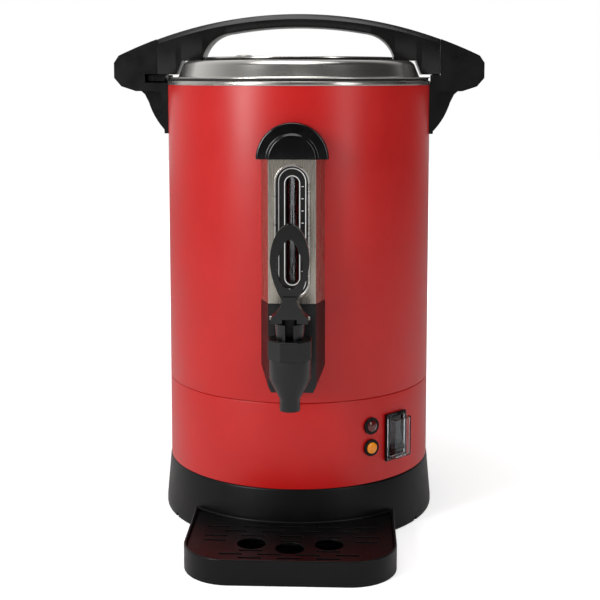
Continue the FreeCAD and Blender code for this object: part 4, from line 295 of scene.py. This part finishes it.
BODY_R, SEAM, JACKET_TOP, SKIRT_TOP = 110.0, 112.3, 357.6, 43.5
jacket = turned("jacket", [(109, SEAM + 0.15, 0.3), (BODY_R, SEAM + 0.15, 0.7), (BODY_R, JACKET_TOP),
                           (109, JACKET_TOP)], 0.3, 256)
dress(jacket, "root", powder_coat, "red_paint", "upper_shell")
housing = turned("housing", [(109, SKIRT_TOP), (BODY_R, SKIRT_TOP), (BODY_R, SEAM - 0.25, 0.9),
                             (108.9, SEAM - 0.25), (108.9, 118.3), (107.9, 118.3), (107.9, 106.3),
                             (109, 106.3)], 0.3, 256)
SWITCH_ANGLE, LAMP_ANGLE, BACK = 46.5, 33.4, 180
carve(housing, [
    prism("switch_opening", 10.4, 60.3, 95.7, 98, 122, SWITCH_ANGLE),
    prism("inlet_opening", 13.9, 65.6, 86.4, 98, 122, BACK),
    rod("upper_lamp_opening", 5.4, 98, 120, 90.1, LAMP_ANGLE),
    rod("lower_lamp_opening", 5.4, 98, 120, 72.5, LAMP_ANGLE),
])
dress(housing, "root", powder_coat, "red_paint", "lower_housing")

# Base skirt: injection-moulded black polypropylene with a fine spark-eroded grain. It flares to its
# foot, has a small notch at each side, and carries the steel base plate on an inner shelf.
moulded_black, tree, surface = shader("moulded_black_plastic")
place = mottle(tree, surface, "#060607", "#0b0b0c", 0.34, 0.42, 25)
surface.inputs["Specular IOR Level"].default_value = 0.25
grain(tree, surface, 0.7, 0.02, place)
surface.inputs["IOR"].default_value = 1.45
skirt = turned("skirt", [(111.5, 0), (114, 0, 1.2), (114, 5, 2.0), (110.5, 43.5, 1.6), (104, 43.5), (104, 41),
                         (108, 41), (111, 8), (103.5, 8), (103.5, 6), (111.5, 6)], 0.4, 256)
carve(skirt, [prism(f"notch_{side}", 2, -2, 3, 109, 118, 60 * side) for side in (1, -1)])
dress(skirt, "root", moulded_black, "black_plastic", "base_skirt")

# Tank: deep-drawn stainless steel pot, polished inside, whose rolled rim hangs on the jacket.
drawn_steel, tree, surface = shader("drawn_stainless_steel")
surface.inputs["Metallic"].default_value = 1.0
mottle(tree, surface, "#c9c5bf", "#d8d5d0", 0.24, 0.34, 30, (1, 1, 6))
tank = turned("tank", [(0, 127.2, 0), (104, 127.2, 6), (104, 360.4), (109.5, 360.4), (109.5, 357.6),
                       (110.3, 357.6), (110.3, 361.2, 1.7), (103.2, 361.2, 1.2), (103.2, 128, 5),
                       (0, 128, 0)], 0.3, 224)
dress(tank, "root", drawn_steel, "stainless", "inner_tank")

# Lid: pressed stainless steel dome with a flat flange, brushed in rings, on a black silicone seal.
# Drawn coarser than the real 0.1 mm brush lines, which are too fine to show.
soft_silicone, tree, surface = shader("black_silicone")
place = mottle(tree, surface, "#19191a", "#222223", 0.5, 0.62, 8)
grain(tree, surface, 0.8, 0.01, place)
seal = turned("seal", [(103.8, 361.2), (108.8, 361.2), (108.8, 363), (103.8, 363)], 0.5, 192)
dress(seal, "lid_seal", soft_silicone, "silicone", "lid_gasket")
brushed_lid, tree, surface = shader("brushed_lid_steel")
surface.inputs["Metallic"].default_value = 1.0
surface.inputs["Base Color"].default_value = linear("#dbd8d3")
place = wire(tree, "ShaderNodeTexCoord")
apart = wire(tree, "ShaderNodeSeparateXYZ", {0: place.outputs["Object"]})
across = wire(tree, "ShaderNodeMath", {0: apart.outputs[0], 1: apart.outputs[0]}, operation="MULTIPLY")
total = wire(tree, "ShaderNodeMath", {0: apart.outputs[1], 1: apart.outputs[1], 2: across.outputs[0]},
             operation="MULTIPLY_ADD")
radius = wire(tree, "ShaderNodeMath", {0: total.outputs[0]}, operation="SQRT")
RING_LINES = 1 / (0.9 * MM)
lines = wire(tree, "ShaderNodeTexNoise", {"W": radius.outputs[0], "Scale": RING_LINES, "Detail": 3.0},
             noise_dimensions="1D")
gloss = wire(tree, "ShaderNodeMapRange", {"Value": lines.outputs[0], "To Min": 0.18, "To Max": 0.3})
tree.links.new(gloss.outputs[0], surface.inputs["Roughness"])
bump = wire(tree, "ShaderNodeBump", {"Height": lines.outputs[0], "Distance": 0.002 * MM, "Strength": 0.5})
tree.links.new(bump.outputs[0], surface.inputs["Normal"])
DECK = 377.5
lid = turned("lid_dome", [(0, 376.7, 0), (92.8, 376.7, 2), (95.9, 374.8), (100.5, 363.4), (100.9, 363),
                          (110, 363), (110, 363.8), (101.3, 363.8, 1.0), (96.7, 375.2, 2.6),
                          (93.2, DECK, 2.6), (0, DECK, 0)], 0.39, 224)
dress(lid, "lid", brushed_lid, "stainless", "lid_shell")

# Middle of the lid: a black ring, a brushed steel plate on it with flats for the handle's legs, and
# the small mushroom vent that lets steam out.
ring = turned("lid_ring", [(62.8, DECK), (80.8, DECK), (80.8, 378.9), (62.8, 378.9)], 0.4, 192)
plate = turned("lid_plate", [(0, 378.9, 0), (79.9, 378.9), (79.9, 380.4, 1.2), (0, 380.4, 0)], 0.4, 192)
for piece in (ring, plate):
    carve(piece, [prism(f"leg_seat_{side}", 17.2, 370, 390, 78.2, 90, side) for side in (90, -90)])
dress(ring, "lid", moulded_black, "black_plastic", "lid_base_ring")
dress(plate, "lid", brushed_lid, "stainless", "lid_cap_plate")
vent = turned("vent", [(0, 375.2, 0), (3, 375.2), (3, 380.4), (7.5, 380.4), (7.5, 381.9, 1.2), (6, 382.9, 1),
                       (0, 382.9, 0)], 0.4, 64, (-49, 30))
dress(vent, "lid", drawn_steel, "stainless", "vent_cap")

# Lid handle: one bow of glass-filled nylon over the lid, with a wide chamfer along its edges. Its two
# legs are screwed to the lid, and end in feet that lock under the side handles.
handle_black, tree, surface = shader("glass_filled_nylon")
place = mottle(tree, surface, "#080809", "#0e0e0f", 0.26, 0.34, 18)
surface.inputs["Specular IOR Level"].default_value = 0.4
grain(tree, surface, 0.6, 0.015, place)
surface.inputs["IOR"].default_value = 1.53
ARCH_TOP, ARCH_R, HALF_DEPTH = 416.0, 345.0, 17.0


def arch_line(x):
    """Height of the arch's upper line: a circle of radius 345 mm with its top at 416 mm."""
    return ARCH_TOP - ARCH_R + np.sqrt(ARCH_R ** 2 - x ** 2)


def arc_through(a, b, c, x):
    """Height at x of the circle through three points, on the side of the middle point."""
    (ax, az), (bx, bz), (cx, cz) = a, b, c
    d = 2 * (ax * (bz - cz) + bx * (cz - az) + cx * (az - bz))
    a2, b2, c2 = ax ** 2 + az ** 2, bx ** 2 + bz ** 2, cx ** 2 + cz ** 2
    ux = (a2 * (bz - cz) + b2 * (cz - az) + c2 * (az - bz)) / d
    uz = (a2 * (cx - bx) + b2 * (ax - cx) + c2 * (bx - ax)) / d
    r = math.hypot(ax - ux, az - uz)
    return uz + math.copysign(1, bz - uz) * np.sqrt(np.maximum(r ** 2 - (x - ux) ** 2, 0))


def arch_under(x):
    """Height of the arch's lower line at |x|: a circle of radius 320 mm in the middle, a bend from the
    knee to the leg, the seat on the lid, and the leg's lower end outside the dome."""
    x = np.abs(x)
    middle = 405 - 320 + np.sqrt(np.maximum(320 ** 2 - x ** 2, 0))
    bend = arc_through((55.2, 400.2), (73.2, 391.3), (80, 377.6), np.clip(x, 55.2, 80))
    slope = np.interp(x, [80, 97.9, 102.5, 103], [377.6, 377.6, 366.0, 366.0])
    return np.where(x < 55.2, middle, np.where(x < 80, bend, slope))


def lofted(name, x, upper, lower, half_depth, top_chamfer, low_chamfer, end_radius):
    """A bar carried along x: at each x a section between two heights and two depths whose corners are
    cut by chamfers. Points past the end radius from the axis are drawn back to it."""
    rise = upper - lower
    top = np.minimum(top_chamfer, rise * 0.35)
    low = np.minimum(low_chamfer, rise * 0.35)
    h, soft = half_depth, 0.30
    # Each chamfer's two corners are softened by a second, smaller cut
    across = np.stack([-h + low, -h + low * soft, -h + 0 * x, -h + 0 * x, -h + top * soft, -h + top * 1.3,
                       h - top * 1.3, h - top * soft, h + 0 * x, h + 0 * x, h - low * soft, h - low], axis=1)
    up = np.stack([lower, lower + low * soft, lower + low, upper - top * 1.2, upper - top * 0.75, upper,
                   upper, upper - top * 0.75, upper - top * 1.2, lower + low, lower + low * soft,
                   lower], axis=1)
    along = np.repeat(x[:, None], across.shape[1], axis=1)
    limit = np.sqrt(end_radius ** 2 - across ** 2)
    along = np.clip(along, -limit, limit)
    body = np.stack([along, across, up], axis=-1)
    cap = body.mean(axis=1, keepdims=True) + 0 * body
    points = np.concatenate([cap[:1], body, cap[-1:]], axis=0)
    return sheet_of(name, points, 24)


steps = np.unique(np.concatenate([np.linspace(0, 55, 70), np.linspace(55, 79.9, 60), [80.0, 80.02, 81],
                                  np.linspace(82, 97.9, 14), np.linspace(98, 102.5, 8), [103, 104],
                                  np.linspace(105, 118.5, 20)]))
x = np.concatenate([-steps[:0:-1], steps])
bow = lofted("lid_bow", x, arch_line(x), arch_under(x), HALF_DEPTH, 3.6, 1.6, 118.5)
dress(bow, "lid", handle_black, "black_plastic", "lid_handle")


def curved_block(name, near, far, half, low, high, side, edge=0.5):
    """A block between two radii from the axis: width 2 half along y, heights low to high, on side +1 or -1
    of x; each point at depth y and radius r lies at x = side times the root of r squared less y squared."""
    outline = rounded([(near, low), (far, low), (far, high), (near, high)], edge)
    y = np.array([-half, -half, -half + edge, half - edge, half, half])[:, None]
    share = np.array([0.0, 1 - edge / (far - near), 1, 1, 1 - edge / (far - near), 0.0])[:, None]
    middle = np.array([(near + far) / 2, (low + high) / 2])
    flat = middle[None, None] + (outline[None] - middle) * share[..., None]
    r, z, depth = flat[..., 0], flat[..., 1], y + 0 * flat[..., 0]
    return sheet_of(name, np.stack([side * np.sqrt(r ** 2 - depth ** 2), depth, z], axis=-1))


for side, word in ((1, "right"), (-1, "left")):
    foot = curved_block(f"locking_foot_{word}", 112.3, 126.9, 12, 360.5, 365.6, side)
    neck = curved_block(f"foot_neck_{word}", 112.4, 118.4, 11.6, 361, 367, side)
    for piece in (foot, neck):
        dress(piece, "lid", handle_black, "black_plastic", "lid_handle")


# Side handles, column cap and foot, tap body, collar, bonnet, lever, switch and lamp mouldings: the
# same black nylon. Their shapes are the CAD's, with the small radii that every moulded edge has.
def softened(node, name, width, segments=3, angle=30):
    """A copy of a node's mesh, its doubles merged and flat faces joined, with rounded edges."""
    made = nodes[node].copy()
    made.data = nodes[node].data.copy()
    made.name = made.data.name = name
    made.parent = None
    bpy.context.scene.collection.objects.link(made)
    tidy = bmesh.new()
    tidy.from_mesh(made.data)
    bmesh.ops.remove_doubles(tidy, verts=tidy.verts, dist=2e-6)
    bmesh.ops.dissolve_limit(tidy, angle_limit=math.radians(0.8), verts=tidy.verts, edges=tidy.edges)
    tidy.to_mesh(made.data)
    tidy.free()
    if made.data.has_custom_normals:
        with bpy.context.temp_override(object=made, active_object=made):
            bpy.ops.mesh.customdata_custom_splitnormals_clear()
    made.data.shade_smooth()
    made.data.set_sharp_from_angle(angle=math.radians(angle))
    edge = made.modifiers.new("edge", "BEVEL")
    edge.width, edge.segments, edge.limit_method = width * MM, segments, "ANGLE"
    edge.angle_limit = math.radians(angle)
    edge.use_clamp_overlap, edge.harden_normals = True, True
    return made


gloss_black, tree, surface = shader("polished_black_plastic")
place = mottle(tree, surface, "#070708", "#0c0c0d", 0.16, 0.24, 12)
grain(tree, surface, 0.9, 0.006, place)
surface.inputs["IOR"].default_value = 1.5
for side in ("left", "right"):
    handle = softened(f"side_handle_{side}", f"carrying_handle_{side}", 2.2)
    dress(handle, "root", handle_black, "black_plastic", f"side_handle_{side}")
for node, name, width, material, body in (
        ("column_foot", "gauge_bottom", 1.0, handle_black, "root"),
        ("tap_body", "tap_chamber", 0.7, handle_black, "root"),
        ("tap_collar", "tap_nut", 0.7, handle_black, "root"),
        ("tap_bonnet", "tap_cone", 0.5, handle_black, "root"),
        ("switch_bezel", "switch_frame", 0.7, moulded_black, "root"),
        ("switch_rocker", "switch_key", 0.6, gloss_black, "rocker"),
        ("lamp_bezels", "lamp_rings", 0.6, moulded_black, "root"),
        ("inlet_socket", "mains_socket", 0.6, moulded_black, "root")):
    dress(softened(node, name, width), body, material, "black_plastic", node)

# Lever: its loop is an upright ellipse in the photograph. The upper half's arc, of radius R round the
# height top - R, is drawn in at each height z by sqrt(1 - ((z - middle) / (top - middle))^2) times the
# half width, over sqrt(R^2 - (z - top + R)^2).
LOOP_ARC, LOOP_HALF, LOOP_RISE = 17.4, 14.35, 27.24
lever = softened("tap_lever", "tap_loop", 1.9)
spots = np.empty(3 * len(lever.data.vertices))
lever.data.vertices.foreach_get("co", spots)
spots = spots.reshape(-1, 3) / MM
below = np.clip(spots[:, 2].max() - spots[:, 2], 0.02, LOOP_RISE)
ellipse_half = LOOP_HALF * np.sqrt(1 - (1 - below / LOOP_RISE) ** 2)
arc_half = np.sqrt(LOOP_ARC ** 2 - (LOOP_ARC - below) ** 2)
spots[:, 0] *= ellipse_half / arc_half
lever.data.vertices.foreach_set("co", (spots * MM).ravel())
dress(lever, "lever", gloss_black, "black_plastic", "tap_lever")

# Level gauge: a cover bent from polished stainless strip, a rolled steel frame in its window, and a
# black scale plate with white printed outlines and plain marks behind a clear acrylic tube. Its black
# cap is half of a disc with a raised face, turned about a level axis and cut to fit the jacket.
polished_steel, tree, surface = shader("polished_cover_steel")
surface.inputs["Metallic"].default_value = 1.0
mottle(tree, surface, "#b9b1a5", "#c9c2b7", 0.22, 0.34, 3, (6, 6, 0.15))
CAP_SEAT = 303
cap = turned("gauge_top", [(0, 100, 0), (27.5, 100), (27.5, 123.5, 1.8), (19.4, 123.5, 1.2), (18, 125.8, 1.6),
                          (0, 125.8, 0)], 0.4, 160)
cap.data.transform(Matrix.Translation((0, 0, CAP_SEAT * MM)) @ Matrix.Rotation(math.pi / 2, 4, "X"))
carve(cap, [prism("below_cap", 40, 250, CAP_SEAT, 90, 135, 0),
            turned("jacket_space", [(0, 250, 0), (110.05, 250), (110.05, 350), (0, 350, 0)], 0, 256)])
dress(cap, "root", gloss_black, "black_plastic", "column_cap")
cover = softened("column_cover", "gauge_cover", 1.6, 4)
dress(cover, "root", polished_steel, "stainless", "column_cover")
window_frame = softened("gauge_frame", "gauge_window_frame", 0.6)
dress(window_frame, "root", drawn_steel, "stainless", "gauge_frame")
scale_black, tree, surface = shader("black_scale_plate")
mottle(tree, surface, "#0a0a0b", "#0f0f10", 0.3, 0.4, 10)
scale = softened("gauge_scale", "gauge_scale_plate", 0.15, 2)
dress(scale, "root", scale_black, "black_plastic", "gauge_scale")
white_print, tree, surface = shader("white_screen_print")
mottle(tree, surface, "#dcdcda", "#ececea", 0.4, 0.5, 3)
PRINT_BACK, PRINT_FRONT = 121.18, 121.27


def printed_line(name, half, low, high, width):
    """A printed stadium: its centre line runs up one side, round the top, down and round the bottom;
    each point is carried out and in by half the width, and a little forward."""
    arc = np.linspace(0, math.pi, 25)
    top = np.stack([half * np.cos(arc), high - half + half * np.sin(arc), np.cos(arc), np.sin(arc)], axis=1)
    bottom = np.stack([-half * np.cos(arc), low + half - half * np.sin(arc),
                       -np.cos(arc), -np.sin(arc)], axis=1)
    path = np.concatenate([top, bottom])
    out = np.array([-1, 1, 1, -1])[None, :] * width / 2
    y = -np.array([PRINT_BACK, PRINT_BACK, PRINT_FRONT, PRINT_FRONT])[None, :] + 0 * path[:, :1]
    points = np.stack([path[:, :1] + path[:, 2:3] * out, y, path[:, 1:2] + path[:, 3:4] * out], axis=-1)
    return sheet_of(name, points)


marks = [printed_line("scale_outline", 10.2, 200.4, 296.1, 0.7),
         printed_line("slit_outline", 5.7, 207.4, 290.5, 0.6)]
for number, height in enumerate(np.arange(218, 284, 9.2)):
    marks.append(prism(f"scale_mark_{number}", 0.9, height - 0.25, height + 0.25,
                       PRINT_BACK, PRINT_FRONT, 0, 0.01))
    marks[-1].data.transform(Matrix.Translation((7.9 * MM, 0, 0)))
# A dark strip on the jacket behind the tube: painted shade, standing in for the shade seen there. The strip
# is a guess.
painted_shade_strip = prism("painted_shade_behind_tube", 9, 200, 298, 110.2, 111.2, 0, 0.1)
# Painted shade: this dark strip is not a part, only the shade behind the tube.
dress(painted_shade_strip, "root", scale_black, "black_plastic")
for mark in marks:
    dress(mark, "root", white_print, "black_plastic")
clear_acrylic, tree, surface = shader("clear_acrylic")
surface.inputs["Transmission Weight"].default_value = 1.0
surface.inputs["IOR"].default_value = 1.49
mottle(tree, surface, "#f4f5f8", "#fafafc", 0.0, 0.03, 20)
tube = turned("gauge_tube", [(3.1, 194.7), (4, 194.7), (4, 302), (3.1, 302)], 0.1, 64, (0, -116))
dress(tube, "root", clear_acrylic, "clear_plastic", "sight_tube")
clear_film, tree, surface = shader("clear_switch_film")
surface.inputs["Transmission Weight"].default_value = 1.0
surface.inputs["IOR"].default_value = 1.25
mottle(tree, surface, "#e6e9ec", "#eef0f2", 0.0, 0.03, 20)
boot = softened("switch_boot", "splash_boot", 0.8)
dress(boot, "root", clear_film, "clear_plastic", "switch_boot")

# Pilot lamps: domed polycarbonate lenses in the rings. The upper one is off, the lower one is lit.
dark_red_lens, tree, surface = shader("dark_red_lens")
mottle(tree, surface, "#4a0a0a", "#5a0f0e", 0.12, 0.2, 2)
surface.inputs["Coat Weight"].default_value = 0.5
lit_amber_lens, tree, surface = shader("lit_amber_lens")
mottle(tree, surface, "#b9620c", "#d98a1c", 0.12, 0.2, 2)
surface.inputs["Emission Color"].default_value = linear("#ff9a1c")
surface.inputs["Emission Strength"].default_value = 0.22
for node, name, material, slot in (("lamp_lens_red", "upper_lens", dark_red_lens, "red_lens"),
                                   ("lamp_lens_amber", "lower_lens", lit_amber_lens, "amber_lens")):
    dress(softened(node, name, 0.25, 2), "root", material, slot, node)

# Drip tray and grate: moulded black polypropylene. The tray nests against the skirt, and the grate
# with its three round holes and short slots lifts out of it.
tray = softened("drip_tray", "spill_tray", 0.9)
dress(tray, "tray", moulded_black, "black_plastic", "drip_tray")
grate = softened("drip_grate", "spill_grate", 0.4, 2)
dress(grate, "grate", moulded_black, "black_plastic", "drip_grate")

# Pieces kept as the CAD has them: the tap's works, the percolator and the heating and wiring parts.
# Plain mill-finish stainless steel, dull oxidised element tubes, and the same mouldings and rubber.
mill_steel, tree, surface = shader("mill_finish_steel")
surface.inputs["Metallic"].default_value = 1.0
mottle(tree, surface, "#b4b1ad", "#c4c2be", 0.3, 0.42, 6)
dull_sheath, tree, surface = shader("oxidised_element_tube")
surface.inputs["Metallic"].default_value = 1.0
mottle(tree, surface, "#4e4a46", "#6a645d", 0.45, 0.6, 4)
for material, kept in (
        (mill_steel, ("base_plate", "base_screws", "handle_screws", "lid_screws", "element_clamp",
                      "thermostats", "pump_bell", "pump_tube", "pump_valve", "coffee_basket", "basket_lid",
                      "gauge_pipe", "tap_shank", "shank_nut", "tap_spring", "lever_pin", "inlet_pins")),
        (dull_sheath, ("boil_element", "warm_element")),
        (soft_silicone, ("tap_gasket", "seat_cup", "tube_grommets")),
        (moulded_black, ("tap_stem", "terminal_block", "thermal_fuse"))):
    for node in kept:
        nodes[node].data.materials.clear()
        nodes[node].data.materials.append(material)
